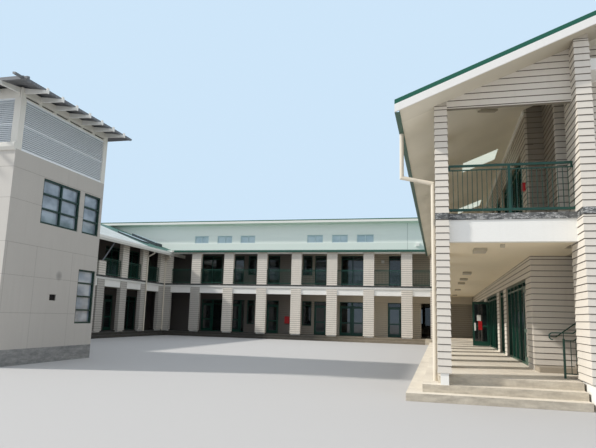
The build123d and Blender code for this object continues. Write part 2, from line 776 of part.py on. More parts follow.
def on_back_wall(shape, x0, z0):
    return Pos(x0, BACK_WALL_Y + FRAME_SET, z0) * shape


def on_right_wall(shape, y1, z0):
    """Turns a frame so that it faces -X; its left end then lies at the far end."""
    return Pos(RIGHT_WALL_X + FRAME_SET, y1, z0) * Rot(0, 0, -90) * shape


def on_left_wall(shape, y0, z0):
    """Turns a frame so that it faces +X; its left end then lies at the near end."""
    return Pos(LEFT_WALL_X - FRAME_SET, y0, z0) * Rot(0, 0, 90) * shape


def floor_of(wall):
    return RIGHT_FLOOR if wall == "right" else COURT_FLOOR


def lights(width):
    """How many lights side by side a window or glazed screen of this width has."""
    return max(1, round(width / LIGHT_W))


def door_spans(wall):
    return [(d[1], d[2]) for d in DOORS.values() if d[0] == wall]


def place(shape, wall, a, b, z0):
    if wall == "back":
        return on_back_wall(shape, a, z0)
    if wall == "right":
        return on_right_wall(shape, b, z0)
    return on_left_wall(shape, a, z0)


def split_at_doors(a, b, wall):
    """Cuts one opening into stretches that are either a door or fixed glazing."""
    cuts = [(p, q) for p, q in door_spans(wall) if p >= a - 1 and q <= b + 1]
    out = [(p, q, True) for p, q in cuts]
    out += [(p, q, False) for p, q in gaps_between(cuts, a, b)]
    return sorted(out)


def door_frame(width, height):
    """Jambs, head and transom light of a doorway; it has no threshold."""
    m = FRAME_W
    frame = block(0, width, 0, FRAME_D, 0, height)
    frame = frame - block(m, width - m, -1, FRAME_D + 1, -1, TRANSOM - m / 2)
    return frame - block(m, width - m, -1, FRAME_D + 1, TRANSOM + m / 2, height - m)


def fitted(p, q, wall, z0, shape_of):
    """Sets a frame or pane between two edges, with a hair of clearance at both sides."""
    return place(shape_of(q - p - 2 * SEAM), wall, p + SEAM, q - SEAM, z0)


def lower_stretches(want_door):
    """Every stretch of the ground-floor openings, as (wall, from, to, sill)."""
    out = []
    for wall, openings in (("right", RIGHT_LOWER), ("back", BACK_LOWER), ("left", LEFT_LOWER)):
        for a, b, sill in openings:
            for p, q, is_door in split_at_doors(a, b, wall):
                if is_door == want_door:
                    out.append((wall, p, q, sill))
    return out


def screen(width, height):
    """A glazed screen or window, with a mullion between its lights."""
    return window_frame(width, height, lights(width))


def frames_lower():
    out = []
    for wall, p, q, sill in lower_stretches(False):
        z0 = floor_of(wall) + sill
        out.append(fitted(p, q, wall, z0, lambda w: screen(w, LOWER_HEAD - z0)))
    return out


def knuckle():
    return extrude(RegularPolygon(KNUCKLE_R, KNUCKLE_SIDES), KNUCKLE_H)


def jamb_hinge():
    """Lower half of a lift-off hinge: knuckle on the pin line, arm, and foot on the jamb's face."""
    reach = LEAF_GAP + HINGE_ARM / 2
    end = reach + HINGE_FOOT
    half = HINGE_ARM / 2
    arm = block(-end, 0, -half, half, 0, KNUCKLE_H)
    foot = block(-end, -reach, -half, HINGE_OUT, 0, KNUCKLE_H)
    return knuckle() + arm + foot


def leaf_hinge():
    """Upper half, on the leaf's face; it turns on the lower one."""
    half = HINGE_ARM / 2
    arm = block(0, HINGE_FOOT + half, -half, half, 0, KNUCKLE_H)
    foot = block(half, HINGE_FOOT + half, -half, HINGE_OUT - LEAF_OUT, 0, KNUCKLE_H)
    return Pos(0, 0, KNUCKLE_H + HINGE_PLAY) * (knuckle() + arm + foot)


def hinges(name, half_of):
    """One half of each hinge of a door, in the doorway's own plane."""
    wall, a, b = DOORS[name]
    edge = FRAME_W + LEAF_GAP + SEAM
    at_start = (name in HUNG_AT_END) == (wall == "right")
    shape = half_of() if at_start else mirror(half_of(), Plane.YZ)
    x = edge if at_start else b - a - edge
    return [Pos(x, -HINGE_OUT, z) * shape for z in HINGE_AT]


def door_frames():
    """The frame of each hinged door, with the lower halves of its hinges on the jamb."""
    out = []
    for name, (wall, a, b) in DOORS.items():
        floor = floor_of(wall)
        frame = Pos(SEAM, 0, 0) * door_frame(b - a - 2 * SEAM, LOWER_HEAD - floor)
        out.append(place(fuse([frame] + hinges(name, jamb_hinge)), wall, a, b, floor))
    return out


def frames_upper():
    out = []
    for wall, openings in (("right", RIGHT_UPPER), ("back", BACK_UPPER), ("left", LEFT_UPPER)):
        for a, b, sill in openings:
            z0 = UPPER_FLOOR + sill
            out.append(fitted(a, b, wall, z0, lambda w: screen(w, UPPER_HEAD - z0)))
    z0, z1 = CLERESTORY_Z
    for a, b in CLERESTORY:
        out.append(on_back_wall(window_frame(b - a, z1 - z0, 2), a, z0))
    return out


def outer_frames():
    out = []
    for z0, z1 in OUTER_WINDOWS_Z:
        shape = window_frame(OUTER_WINDOW_W, z1 - z0, 1)
        for a, b in rear_windows():
            out.append(Pos(a, REAR_Y - FRAME_SET - FRAME_D, z0) * shape)
        for a, b in right_outer_windows():
            out.append(Pos(RIGHT_OUTER_X - FRAME_SET, a, z0) * Rot(0, 0, 90) * shape)
        for a, b in left_outer_windows():
            out.append(Pos(LEFT_OUTER_X + FRAME_SET, b, z0) * Rot(0, 0, -90) * shape)
    return out


def sheet(width, height):
    """A pane that sits just behind its frame."""
    return block(0, width, FRAME_D, FRAME_D + GLASS_T, 0, height)


def glass_lower():
    out = []
    for wall, p, q, sill in lower_stretches(False):
        z0 = floor_of(wall) + sill
        out.append(fitted(p, q, wall, z0, lambda w: sheet(w, LOWER_HEAD - z0)))
    for wall, p, q, _ in lower_stretches(True):
        z0 = floor_of(wall) + TRANSOM
        out.append(fitted(p, q, wall, z0, lambda w: sheet(w, LOWER_HEAD - z0)))
    return out


def glass_upper():
    out = []
    for wall, openings in (("right", RIGHT_UPPER), ("back", BACK_UPPER), ("left", LEFT_UPPER)):
        for a, b, sill in openings:
            z0 = UPPER_FLOOR + sill
            out.append(place(sheet(b - a, UPPER_HEAD - z0), wall, a, b, z0))
    z0, z1 = CLERESTORY_Z
    for a, b in CLERESTORY:
        out.append(on_back_wall(sheet(b - a, z1 - z0), a, z0))
    return out


def outer_glass():
    """One sheet a storey behind the windows of each outer wall."""
    out = []
    lip = 100
    rear, right, left = rear_windows(), right_outer_windows(), left_outer_windows()
    for low, high in OUTER_WINDOWS_Z:
        z0, z1 = low - lip, high + lip
        y1 = REAR_Y - WALL
        out.append(block(rear[0][0] - lip, rear[-1][1] + lip, y1 - GLASS_T, y1, z0, z1))
        x1 = RIGHT_OUTER_X - WALL
        out.append(block(x1 - GLASS_T, x1, right[0][0] - lip, right[-1][1] + lip, z0, z1))
        x0 = LEFT_OUTER_X + WALL
        out.append(block(x0, x0 + GLASS_T, left[0][0] - lip, left[-1][1] + lip, z0, z1))
    return out


def leaf(width):
    """A glazed door leaf: stiles, three rails and a thin pane held in their middle."""
    stile = 95
    height = DOOR_H
    frame = block(0, width, 0, LEAF_T, 0, height)
    for z0, z1 in ((220, 900), (1000, height - 110)):
        frame = frame - block(stile, width - stile, -1, LEAF_T + 1, z0, z1)
        frame = frame + block(stile, width - stile, LEAF_T / 2 - 4, LEAF_T / 2 + 4, z0, z1)
    return frame


def door(name):
    """A leaf with the upper halves of its hinges; one of them stands open."""
    wall, a, b = DOORS[name]
    inset = FRAME_W + LEAF_GAP + SEAM
    shape = Pos(inset, -LEAF_OUT, LEAF_GAP) * leaf(b - a - 2 * inset)
    placed = place(fuse([shape] + hinges(name, leaf_hinge)), wall, a, b, floor_of(wall))
    if name == "right_door_open":
        pin = Axis((RIGHT_WALL_X + FRAME_SET - HINGE_OUT, a + inset, 0), (0, 0, 1))
        placed = placed.rotate(pin, 90)
    return [placed]


# Balustrades and stair
def balustrade_rails(length):
    """Handrail, second rail and foot rail of a balustrade: X along, Z up from the floor."""
    half, thin = RAIL_W / 2, BAR_W
    return [
        block(0, length, -half, half, *TOP_RAIL_Z),
        block(0, length, -thin, thin, *SECOND_RAIL_Z),
        block(0, length, -half, half, *FOOT_RAIL_Z),
    ]


def bar_panel(length):
    """The gable's balustrade: rails, square bars and a middle post."""
    pieces = balustrade_rails(length)
    half = BAR_W / 2
    bars = max(2, round((length - 40) / BAR_PITCH))
    pitch = (length - 30) / bars
    for k in range(bars + 1):
        x = 15 + pitch * k
        pieces.append(block(x - half, x + half, -half, half, FOOT_RAIL_Z[1], SECOND_RAIL_Z[0]))
    for x in (40, length - 40):
        pieces.append(block(x - 20, x + 20, -BAR_W, BAR_W, SECOND_RAIL_Z[1], TOP_RAIL_Z[0]))
    pieces.append(block(length / 2 - 30, length / 2 + 30, -30, 30, 0, TOP_RAIL_Z[0]))
    return fuse(pieces)


def rail_panel(length):
    """A bay's balustrade: its rails, held by an upright at each pier."""
    low, high = FOOT_RAIL_Z[0], TOP_RAIL_Z[0]
    uprights = [block(x - 20, x + 20, -BAR_W, BAR_W, low, high) for x in (20, length - 20)]
    return fuse(balustrade_rails(length) + uprights)


def gable_balustrade():
    length = GABLE_PIER_X[0] - RIGHT_PIER_X[1]
    middle = sum(FRONT_BEAM_Y) / 2
    return [Pos(RIGHT_PIER_X[1], middle, UPPER_FLOOR) * bar_panel(length)]


def court_balustrades():
    right, left, back = [sum(line) / 2 for line in (RIGHT_PIER_X, LEFT_PIER_X, BACK_PIER_Y)]
    out = [Pos(right, a, UPPER_FLOOR) * Rot(0, 0, 90) * rail_panel(b - a) for a, b in right_bays()]
    out += [Pos(a, back, UPPER_FLOOR) * rail_panel(b - a) for a, b in back_bays()]
    out += [Pos(left, a, UPPER_FLOOR) * Rot(0, 0, 90) * rail_panel(b - a) for a, b in left_bays()]
    return out


def stair_rise():
    return (UPPER_FLOOR - RIGHT_FLOOR) / STAIR_RISERS


def stair_end():
    """Where the flight meets its landing."""
    return STAIR_X0 + STAIR_GOING * (STAIR_RISERS - 1)


def landing():
    return block(stair_end(), RIGHT_OUTER_X - WALL, STAIR_Y[0], RECESS_Y, UPPER_FLOOR - LANDING_T, UPPER_FLOOR)


def stair_treads():
    rise = stair_rise()
    out = []
    for k in range(STAIR_RISERS - 1):
        top = RIGHT_FLOOR + rise * (k + 1)
        x0 = STAIR_X0 + STAIR_GOING * k
        y0, y1 = STAIR_Y[0] + STRING_T, STAIR_Y[1] - STRING_T
        out.append(block(x0, x0 + STAIR_GOING - 10, y0, y1, top - 45, top))
    return out


def string_top(x):
    return RIGHT_FLOOR + stair_rise() + 40 + (x - STAIR_X0) * stair_rise() / STAIR_GOING


def stair_strings():
    x0, x1 = STAIR_X0, stair_end()
    last = x1 - STAIR_GOING
    top = string_top(last)
    profile = [
        (x0, RIGHT_FLOOR), (x0 + STRING_DEEP, RIGHT_FLOOR), (x1, top - STRING_DEEP),
        (x1, top), (last, top), (x0, string_top(x0)),
    ]
    y0, y1 = STAIR_Y
    return [prism_y(profile, y0, y0 + STRING_T), prism_y(profile, y1 - STRING_T, y1)]


def stair_bend():
    """Where the level ends of the handrails start to climb, before the first riser."""
    return STAIR_X0 - RAIL_LEAD


def handrail(y, z, start, curled):
    """Flat handrail at the height z of its level end; a curled one turns under at its start."""
    bend, end = stair_bend(), stair_end()
    level = Line((start, y, z), (bend, y, z))
    climb = Line((bend, y, z), (end, y, z + (end - bend) * stair_rise() / STAIR_GOING))
    if curled:
        under = (start, y, z - 2 * CURL_R)
        curl = ThreePointArc(under, (start - CURL_R, y, z - CURL_R), (start, y, z))
        section = Plane(under, x_dir=(0, 1, 0), z_dir=(-1, 0, 0)) * Rectangle(*RAIL_SECTION)
        return sweep(section, path=curl + level + climb, transition=Transition.RIGHT)
    section = Plane((start, y, z), x_dir=(0, 1, 0), z_dir=(1, 0, 0)) * Rectangle(*RAIL_SECTION)
    return sweep(section, path=level + climb, transition=Transition.RIGHT)


def rail_under(x, z):
    """Underside of a handrail whose level end is at the height z."""
    climb = max(0, x - stair_bend()) * stair_rise() / STAIR_GOING
    return z + climb - RAIL_SECTION[1] / 2


def court_rail():
    """Newel, two rails and bars on the open side of the stair."""
    y = STAIR_Y[0] + STRING_T / 2
    half = NEWEL_W / 2
    upper, lower = RIGHT_FLOOR + HANDRAIL_H, RIGHT_FLOOR + LOWER_RAIL_H
    newel = block(NEWEL_X - half, NEWEL_X + half, y - half, y + half, RIGHT_FLOOR, RIGHT_FLOOR + NEWEL_H)
    neck = block(NEWEL_X - 8, NEWEL_X + 8, y - 8, y + 8, RIGHT_FLOOR + NEWEL_H, upper)
    start = RIGHT_WALL_X + CURL_R + RAIL_SECTION[1]
    pieces = [newel, neck, handrail(y, upper, start, True), handrail(y, lower, NEWEL_X, False)]
    pieces.append(block(NEWEL_X, STAIR_X0, y - 12, y + 12, RIGHT_FLOOR + 90, RIGHT_FLOOR + 115))
    for k in range(RAIL_BAR_COUNT):
        x = NEWEL_X + RAIL_BAR_FIRST + RAIL_BAR_PITCH * k
        pieces.append(block(x - 7, x + 7, y - 7, y + 7, RIGHT_FLOOR + 100, rail_under(x, lower) + 5))
    for k in range(RAIL_POSTS + 1):
        x = STAIR_X0 + 20 + (stair_end() - STAIR_GOING - STAIR_X0 - 40) * k / RAIL_POSTS
        a, b = x - 15, x + 15
        foot = [(a, string_top(a)), (b, string_top(b))]
        head = [(b, rail_under(b, upper) + 5), (a, rail_under(a, upper) + 5)]
        pieces.append(prism_y(foot + head, y - 10, y + 10))
    return fuse(pieces)


def wall_rail():
    """Handrail on the cross wall, on three brackets."""
    y = RECESS_Y - WALL_RAIL_OUT
    z = RIGHT_FLOOR + WALL_RAIL_H
    pieces = [handrail(y, z, NEWEL_X + 40, False)]
    for share in (0.02, 0.5, 0.98):
        x = STAIR_X0 + (stair_end() - STAIR_X0) * share
        top = rail_under(x, z) + 5
        pieces.append(block(x - 12, x + 12, y - 12, RECESS_Y, top - 30, top))
    return fuse(pieces)


def stair_rail():
    return [court_rail(), wall_rail()]


def hall_step():
    """Low platform at the foot of the cross wall."""
    return [block(RIGHT_WALL_X, STAIR_X0 - 10, PLATFORM_Y, RECESS_Y, RIGHT_FLOOR, RIGHT_FLOOR + PLATFORM_H)]


# Roofs
def right_roof():
    x0 = RIGHT_EAVE_X + GUTTER_W
    xr = RIGHT_RIDGE_X
    profile = [(x0, right_soffit(x0)), (xr, right_soffit(xr)), (xr, right_top(xr)), (x0, right_top(x0))]
    return [prism_y(profile, VERGE_Y + VERGE_T, BACK_WALL_Y)]


def right_roof_outer():
    xr, x1 = RIGHT_RIDGE_X, RIGHT_OUTER_EAVE_X
    drop = RIGHT_SLOPE * (x1 - xr)
    top = right_top(xr)
    profile = [(xr, top - ROOF_T), (x1, top - drop - ROOF_T), (x1, top - drop), (xr, top)]
    return [prism_y(profile, VERGE_Y + VERGE_T, BACK_WALL_Y)]


def left_roof():
    x0 = LEFT_EAVE_X - GUTTER_W
    xr = LEFT_RIDGE_X
    profile = [(x0, left_soffit(x0)), (x0, left_top(x0)), (xr, left_top(xr)), (xr, left_soffit(xr))]
    return [prism_y(profile, LEFT_FRONT_Y, BACK_WALL_Y)]


def left_roof_outer():
    xr, x1 = LEFT_RIDGE_X, LEFT_OUTER_EAVE_X
    drop = LEFT_SLOPE * (xr - x1)
    top = left_top(xr)
    profile = [(xr, top - ROOF_T), (xr, top), (x1, top - drop), (x1, top - drop - ROOF_T)]
    return [prism_y(profile, LEFT_FRONT_Y, BACK_WALL_Y)]


def low_roof():
    """Lean-to over the back verandah, mitred against the wing roofs."""
    y0, y1 = BACK_EDGE_Y + GUTTER_W, BACK_WALL_Y
    reach = 1500
    slab = prism_x(
        [(y0, low_top(y0) - LOW_ROOF_T), (y1, low_top(y1) - LOW_ROOF_T), (y1, low_top(y1)), (y0, low_top(y0))],
        LEFT_EAVE_X - reach, RIGHT_EAVE_X + reach,
    )
    base = UPPER_FLOOR
    a, b = RIGHT_EAVE_X, RIGHT_EAVE_X + reach + 10
    right_bulk = prism_y([(a, base), (b, base), (b, right_top(b)), (a, right_top(a))], y0 - 1000, y1 + 100)
    a, b = LEFT_EAVE_X, LEFT_EAVE_X - reach - 10
    left_bulk = prism_y([(a, base), (a, left_top(a)), (b, left_top(b)), (b, base)], y0 - 1000, y1 + 100)
    return [slab - right_bulk - left_bulk]


def high_roof():
    y0, y1 = HIGH_ROOF_Y
    t = HIGH_ROOF_T
    profile = [(y0, high_top(y0) - t), (y1, high_top(y1) - t), (y1, high_top(y1)), (y0, high_top(y0))]
    return [prism_x(profile, LEFT_OUTER_EAVE_X, RIGHT_OUTER_EAVE_X)]


def verge_boards():
    """Barge boards on the gable: they hide the roof edge and stop the gutter."""
    x0, xr, x1 = RIGHT_EAVE_X, RIGHT_RIDGE_X, RIGHT_OUTER_EAVE_X
    drop = RIGHT_SLOPE * (x1 - xr)
    top = right_top(xr)
    lip = VERGE_LIP
    outline = [
        (x0, right_soffit(x0)), (xr, top - ROOF_T), (x1, top - drop - ROOF_T),
        (x1, top - drop + lip), (xr, top + lip), (x0, right_top(x0) + lip),
    ]
    return [prism_y(outline, VERGE_Y, VERGE_Y + VERGE_T)]


def end_canopy():
    """Small roof on the gable wall, right of the open bay."""
    return [block(GABLE_PIER_X[1], RIGHT_OUTER_X, CANOPY_Y, GABLE_PIER_Y[1] - WALL, *CANOPY_Z)]


def trough(width, height, thick=8):
    """Gutter section, closed below: width along +X, height along +Z."""
    return [
        (0, 0), (width, 0), (width, height), (width - thick, height), (width - thick, thick),
        (thick, thick), (thick, height), (0, height),
    ]


def gutters():
    section = trough(GUTTER_W, GUTTER_H)
    end = BACK_EDGE_Y - 20
    x, z = RIGHT_EAVE_X, right_soffit(RIGHT_EAVE_X)
    right = prism_y([(x + dx, z + dz) for dx, dz in section], VERGE_Y + VERGE_T, end)
    x, z = LEFT_EAVE_X - GUTTER_W, left_soffit(LEFT_EAVE_X)
    left = prism_y([(x + dx, z + dz) for dx, dz in section], LEFT_FRONT_Y, end)
    z = LOW_ROOF_TOP - LOW_ROOF_T
    back = prism_x([(BACK_EDGE_Y + dy, z + dz) for dy, dz in section], LEFT_EAVE_X, RIGHT_EAVE_X)
    return [right, left, back]


def pipe(points, radius=PIPE_R):
    """A downpipe along a bent line, mitred at its bends; its round section has PIPE_SIDES flats."""
    start = Plane(points[0], z_dir=Vector(*points[1]) - Vector(*points[0]))
    section = start * RegularPolygon(radius, PIPE_SIDES)
    return sweep(section, path=Polyline(*points), transition=Transition.RIGHT)


def downpipes():
    """One at the gable's first pier, one in the left wing and one in its inner corner."""
    eave = right_soffit(RIGHT_EAVE_X)
    y = RIGHT_FRONT_Y + BLADE + PIPE_R + PIPE_GAP
    x = RIGHT_PIER_X[0] - FLASHING_LIP - PIPE_R
    gutter_x = RIGHT_EAVE_X + GUTTER_W / 2
    high, low = PIPE_BEND_Z
    out = [pipe([(gutter_x, y, eave), (gutter_x, y, high), (x, y, low), (x, y, 2 * RISER_RIGHT)])]
    eave = left_soffit(LEFT_EAVE_X)
    x = LEFT_PIER_X[1] + FLASHING_LIP + PIPE_R
    gutter_x = LEFT_EAVE_X - GUTTER_W / 2
    corner = BACK_PIER_Y[0] - FLASHING_LIP - PIPE_R
    beside = LEFT_PIER_NEAR - COURT_BAY + BLADE - 3 * PIPE_R
    for y in (beside, corner):
        top_y = min(y, BACK_EDGE_Y - 3 * PIPE_R)
        bend = (gutter_x, top_y, eave - 100)
        out.append(pipe([(gutter_x, top_y, eave), bend, (x, y, eave - 350), (x, y, COURT_FLOOR)]))
    return out


def roof_lights():
    """Roof windows on raised kerbs, in the left roof near the back range."""
    x0, x1 = ROOF_LIGHT_X
    out = []
    for y0, y1, high in ROOF_LIGHTS:
        outline = [(x1, left_top(x1)), (x1, left_top(x1) + high), (x0, left_top(x0) + high), (x0, left_top(x0))]
        out.append(prism_y(outline, y0, y1))
    return out


def eave_strut():
    """Raking steel strut from the stub pier to the eave."""
    y = LEFT_PIER_NEAR - COURT_BAY * STUB_PIER + BLADE / 2
    head_x = LEFT_EAVE_X - GUTTER_W - 120
    foot = (LEFT_PIER_X[1] - 100, y, STUB_TOP - 100)
    head = (head_x, y + 700, left_soffit(head_x) + 100)
    start = Plane(foot, z_dir=Vector(*head) - Vector(*foot))
    rod = sweep(start * RegularPolygon(STRUT_R, PIPE_SIDES), path=Line(foot, head))
    a, b = LEFT_PIER_X[0], LEFT_EAVE_X
    under = [(a, STUB_TOP), (b, STUB_TOP), (b, left_soffit(b)), (a, left_soffit(a))]
    return [rod & prism_y(under, y - BLADE, y + COURT_BAY)]


# Tower
def tower_plinth():
    return [block(*TOWER_X, *TOWER_Y, 0, PLINTH_TOP)]


def tower_long_walls():
    x0, x1 = TOWER_X
    y0, y1 = TOWER_Y
    return [
        block(x0, x1 - WALL, y0, y0 + WALL, PLINTH_TOP, LOUVRE_Z[0]),
        block(x0, x1 - WALL, y1 - WALL, y1, PLINTH_TOP, LOUVRE_Z[0]),
    ]


def tower_east_wall():
    """Court face of the tower with its three windows and the small vent."""
    x0, x1 = TOWER_X[1] - WALL, TOWER_X[1]
    y0, y1 = TOWER_Y
    wall = block(x0, x1, y0, y1, PLINTH_TOP, LOUVRE_Z[0])
    for (a, b), (z0, z1) in TOWER_WINDOWS:
        wall = wall - block(x0 - 1, x1 + 1, a, b, z0, z1)
    return [wall - block(x1 - VENT_DEEP, x1 + 1, *VENT_Y, *VENT_Z)]


def tower_west_wall():
    x0 = TOWER_X[0]
    y0, y1 = TOWER_Y
    return [block(x0, x0 + WALL, y0 + WALL + SEAM, y1 - WALL - SEAM, PLINTH_TOP, LOUVRE_Z[0])]


def tower_floor():
    return [block(TOWER_X[0] + WALL, TOWER_X[1] - WALL, TOWER_Y[0] + WALL, TOWER_Y[1] - WALL, *TOWER_FLOOR_Z)]


def ring(x0, x1, y0, y1, thick, z0, z1):
    return block(x0, x1, y0, y1, z0, z1) - block(x0 + thick, x1 - thick, y0 + thick, y1 - thick, z0 - 1, z1 + 1)


def tower_louvres():
    """Slatted upper stage, set back a little from the wall face."""
    x0, x1 = TOWER_X
    y0, y1 = TOWER_Y
    s = LOUVRE_SET
    return [ring(x0 + s, x1 - s, y0 + s, y1 - s, LOUVRE_T, *LOUVRE_Z)]


def tower_corners():
    """Cover boards round the four corners of the slatted stage."""
    w, t = CORNER_W, CORNER_T
    angle = [(0, 0), (w, 0), (w, t), (t, t), (t, w), (0, w)]
    out = []
    for x, sx in zip(TOWER_X, (1, -1)):
        for y, sy in zip(TOWER_Y, (1, -1)):
            out.append(prism_z([(x + sx * a, y + sy * b) for a, b in angle], *LOUVRE_Z))
    return out


def tower_ledge():
    """Moulded ledge under the louvres of the front face."""
    x0, x1 = TOWER_X
    y0, z = TOWER_Y[0], LOUVRE_Z[0]
    profile = [
        (y0, z - 46), (y0, z + 194), (y0 - 70, z + 194),
        (y0 - 90, z + 154), (y0 - 90, z + 54), (y0 - 40, z - 46),
    ]
    return [prism_x(profile, x0, x1)]


def tower_plate():
    """Head ring of the tower, with a row of slots between the outriggers on the court face."""
    x0, x1 = TOWER_X
    y0, y1 = TOWER_Y
    plate = ring(x0, x1, y0, y1, 160, *PLATE_Z)
    for k in range(OUTRIGGERS - 1):
        a = OUTRIGGER_FIRST + OUTRIGGER_PITCH * k + SLOT_RIB / 2
        b = a + OUTRIGGER_PITCH - SLOT_RIB
        plate = plate - block(x1 - SLOT_DEEP, x1 + 1, a, b, *SLOT_Z)
    return [plate]


def bracket_profile(reach):
    """Outrigger seen from the side: deep at the wall, thin at the tip, falling with the roof."""
    drop = FLY_SLOPE * reach
    top = PLATE_Z[1]
    return [(0, top - 170), (reach, top - drop - 80), (reach, top - drop), (0, top)]


def tower_outriggers():
    x1 = TOWER_X[1]
    profile = [(x1 + d, z) for d, z in bracket_profile(OUTRIGGER_REACH_X)]
    out = []
    for k in range(OUTRIGGERS):
        y = OUTRIGGER_FIRST + OUTRIGGER_PITCH * k
        out.append(prism_y(profile, y - 35, y + 35))
    return out


def tower_front_outriggers():
    y0 = TOWER_Y[0]
    profile = [(y0 - d, z) for d, z in bracket_profile(OUTRIGGER_REACH_Y)]
    out = []
    for k in range(FRONT_OUTRIGGERS):
        x = TOWER_X[1] - 120 - OUTRIGGER_PITCH * k
        out.append(prism_x(profile, x - 35, x + 35))
    return out


def tower_purlins():
    """Edge purlins on the outriggers, meeting at the court corner and running past the sheet."""
    x1, y0 = TOWER_X[1], TOWER_Y[0]
    px = FLY_OVERHANG_X + 10
    py = FLY_OVERHANG_Y + 10
    top = PLATE_Z[1]
    zx = top - FLY_SLOPE * (px - 50)
    zy = top - FLY_SLOPE * (py - 50)
    deep = PURLIN + FLY_SLOPE * (FLY_OVERHANG_Y - FLY_OVERHANG_X)
    fall = FLY_SLOPE * 100
    east = prism_y(
        [
            (x1 + px - 50, zx), (x1 + px + 50, zx - fall),
            (x1 + px + 50, zx - fall + PURLIN), (x1 + px - 50, zx + PURLIN),
        ],
        y0 - OUTRIGGER_REACH_Y, TOWER_Y[1] + 560,
    )
    front = prism_x(
        [
            (y0 - py + 50, zy), (y0 - py - 50, zy - fall),
            (y0 - py - 50, zy - fall + deep), (y0 - py + 50, zy + deep),
        ],
        TOWER_X[0] - 300, x1 + px + 200,
    )
    return [(east + front) - tower_roof()[0]]


def fly_body(drop):
    """Solid under a hipped surface, lowered by drop; two ridged prisms cut each other to hips."""
    x0, x1 = TOWER_X[0] - FLY_OVERHANG_X, TOWER_X[1] + FLY_OVERHANG_X
    y0, y1 = TOWER_Y[0] - FLY_OVERHANG_Y, TOWER_Y[1] + FLY_OVERHANG_Y
    eave = PLATE_Z[1] + PURLIN + FLY_T - FLY_SLOPE * FLY_OVERHANG_X - drop
    base = eave - 8 * FLY_T

    def ridged(a, b):
        m = (a + b) / 2
        return [(a, base), (b, base), (b, eave), (m, eave + FLY_SLOPE * (m - a)), (a, eave)]

    return prism_y(ridged(x0, x1), y0, y1) & prism_x(ridged(y0, y1), x0, x1)


def tower_roof():
    """Hipped fly roof sheet with an even thickness."""
    x0, x1 = TOWER_X[0] - FLY_OVERHANG_X, TOWER_X[1] + FLY_OVERHANG_X
    y0, y1 = TOWER_Y[0] - FLY_OVERHANG_Y, TOWER_Y[1] + FLY_OVERHANG_Y
    eave = PLATE_Z[1] + PURLIN - FLY_SLOPE * FLY_OVERHANG_X
    sheet_body = fly_body(0) - fly_body(FLY_T)
    return [sheet_body & block(x0, x1, y0, y1, eave - FLY_T, eave + FLY_SLOPE * (x1 - x0))]


def on_tower(shape, y0, z0):
    """Turns a frame so that it faces the court."""
    return Pos(TOWER_X[1] - FRAME_SET + 20, y0, z0) * Rot(0, 0, 90) * shape


def tower_frames():
    out = []
    for (a, b), (z0, z1) in TOWER_WINDOWS:
        out.append(on_tower(screen(b - a, z1 - z0), a, z0))
    return out


def tower_glass():
    return [on_tower(sheet(b - a, z1 - z0), a, z0) for (a, b), (z0, z1) in TOWER_WINDOWS]


def ground_floor():
    return [right_floor() + court_floor()]


def steps():
    return [front_steps() + court_steps()]


def upper_floor():
    return [right_upper_floor() + court_upper_floor() + landing()]


def floor_flashing():
    return [right_flashing() + court_flashing()]


def beams():
    return edge_beams() + eaves_lintels()


def walls_lower():
    low = [s for s in sills() if s.bounding_box().min.Z < UPPER_FLOOR - 1]
    return right_wall_lower() + back_wall_lower() + left_wall_lower() + low


def walls_upper():
    high = [s for s in sills() if s.bounding_box().min.Z > UPPER_FLOOR - 1]
    return right_wall_upper() + back_wall_upper() + left_wall_upper() + high


def wall_heads():
    return right_wall_heads() + left_wall_heads()


def end_walls():
    return gable_infill() + right_end_wall() + left_end_wall() + recess_walls()


def outer_wall_bands():
    return side_wall_bands() + rear_wall_bands()


def outer_wall_panels():
    return side_wall_panels() + rear_wall_panels()


def other_frames():
    return outer_frames() + tower_frames()


def other_glass():
    return outer_glass() + tower_glass()


def stairs():
    return stair_treads() + hall_step()


def right_wing_roof():
    return right_roof() + right_roof_outer()


def left_wing_roof():
    return left_roof() + left_roof_outer()


def tower_walls():
    return tower_long_walls() + tower_west_wall()


def tower_trim():
    return tower_corners() + tower_ledge()


def tower_brackets():
    return tower_outriggers() + tower_front_outriggers()


# Nodes whose touching pieces are joined into single solids, and nodes kept as separate solids.
JOINED = {
    "ground_floor": ground_floor,
    "steps": steps,
    "upper_floor": upper_floor,
    "floor_flashing": floor_flashing,
    "right_roof": right_wing_roof,
    "left_roof": left_wing_roof,
    "tower_trim": tower_trim,
}
SEPARATE = {
    "walls_lower": walls_lower,
    "walls_upper": walls_upper,
    "outer_wall_bands": outer_wall_bands,
    "outer_wall_panels": outer_wall_panels,
    "tower_walls": tower_walls,
    "door_frames": door_frames,
    "tower_purlins": tower_purlins,
    "pier_bases": pier_bases,
    "piers_lower": piers_lower,
    "piers_upper": piers_upper,
    "edge_beams": beams,
    "wall_heads": wall_heads,
    "clerestory_bands": clerestory_bands,
    "clerestory_panels": clerestory_panels,
    "end_walls": end_walls,
    "frames_lower": frames_lower,
    "frames_upper": frames_upper,
    "outer_frames": other_frames,
    "glass_lower": glass_lower,
    "glass_upper": glass_upper,
    "outer_glass": other_glass,
    "gable_balustrade": gable_balustrade,
    "court_balustrades": court_balustrades,
    "stair_treads": stairs,
    "stair_strings": stair_strings,
    "stair_rail": stair_rail,
    "low_roof": low_roof,
    "high_roof": high_roof,
    "verge_boards": verge_boards,
    "end_canopy": end_canopy,
    "gutters": gutters,
    "downpipes": downpipes,
    "roof_lights": roof_lights,
    "eave_strut": eave_strut,
    "tower_plinth": tower_plinth,
    "tower_east_wall": tower_east_wall,
    "tower_floor": tower_floor,
    "tower_louvres": tower_louvres,
    "tower_plate": tower_plate,
    "tower_outriggers": tower_brackets,
    "tower_roof": tower_roof,
}

CENTRE_X = (LEFT_OUTER_EAVE_X + RIGHT_OUTER_EAVE_X) / 2
CENTRE_Y = (VERGE_Y + HIGH_ROOF_Y[1]) / 2


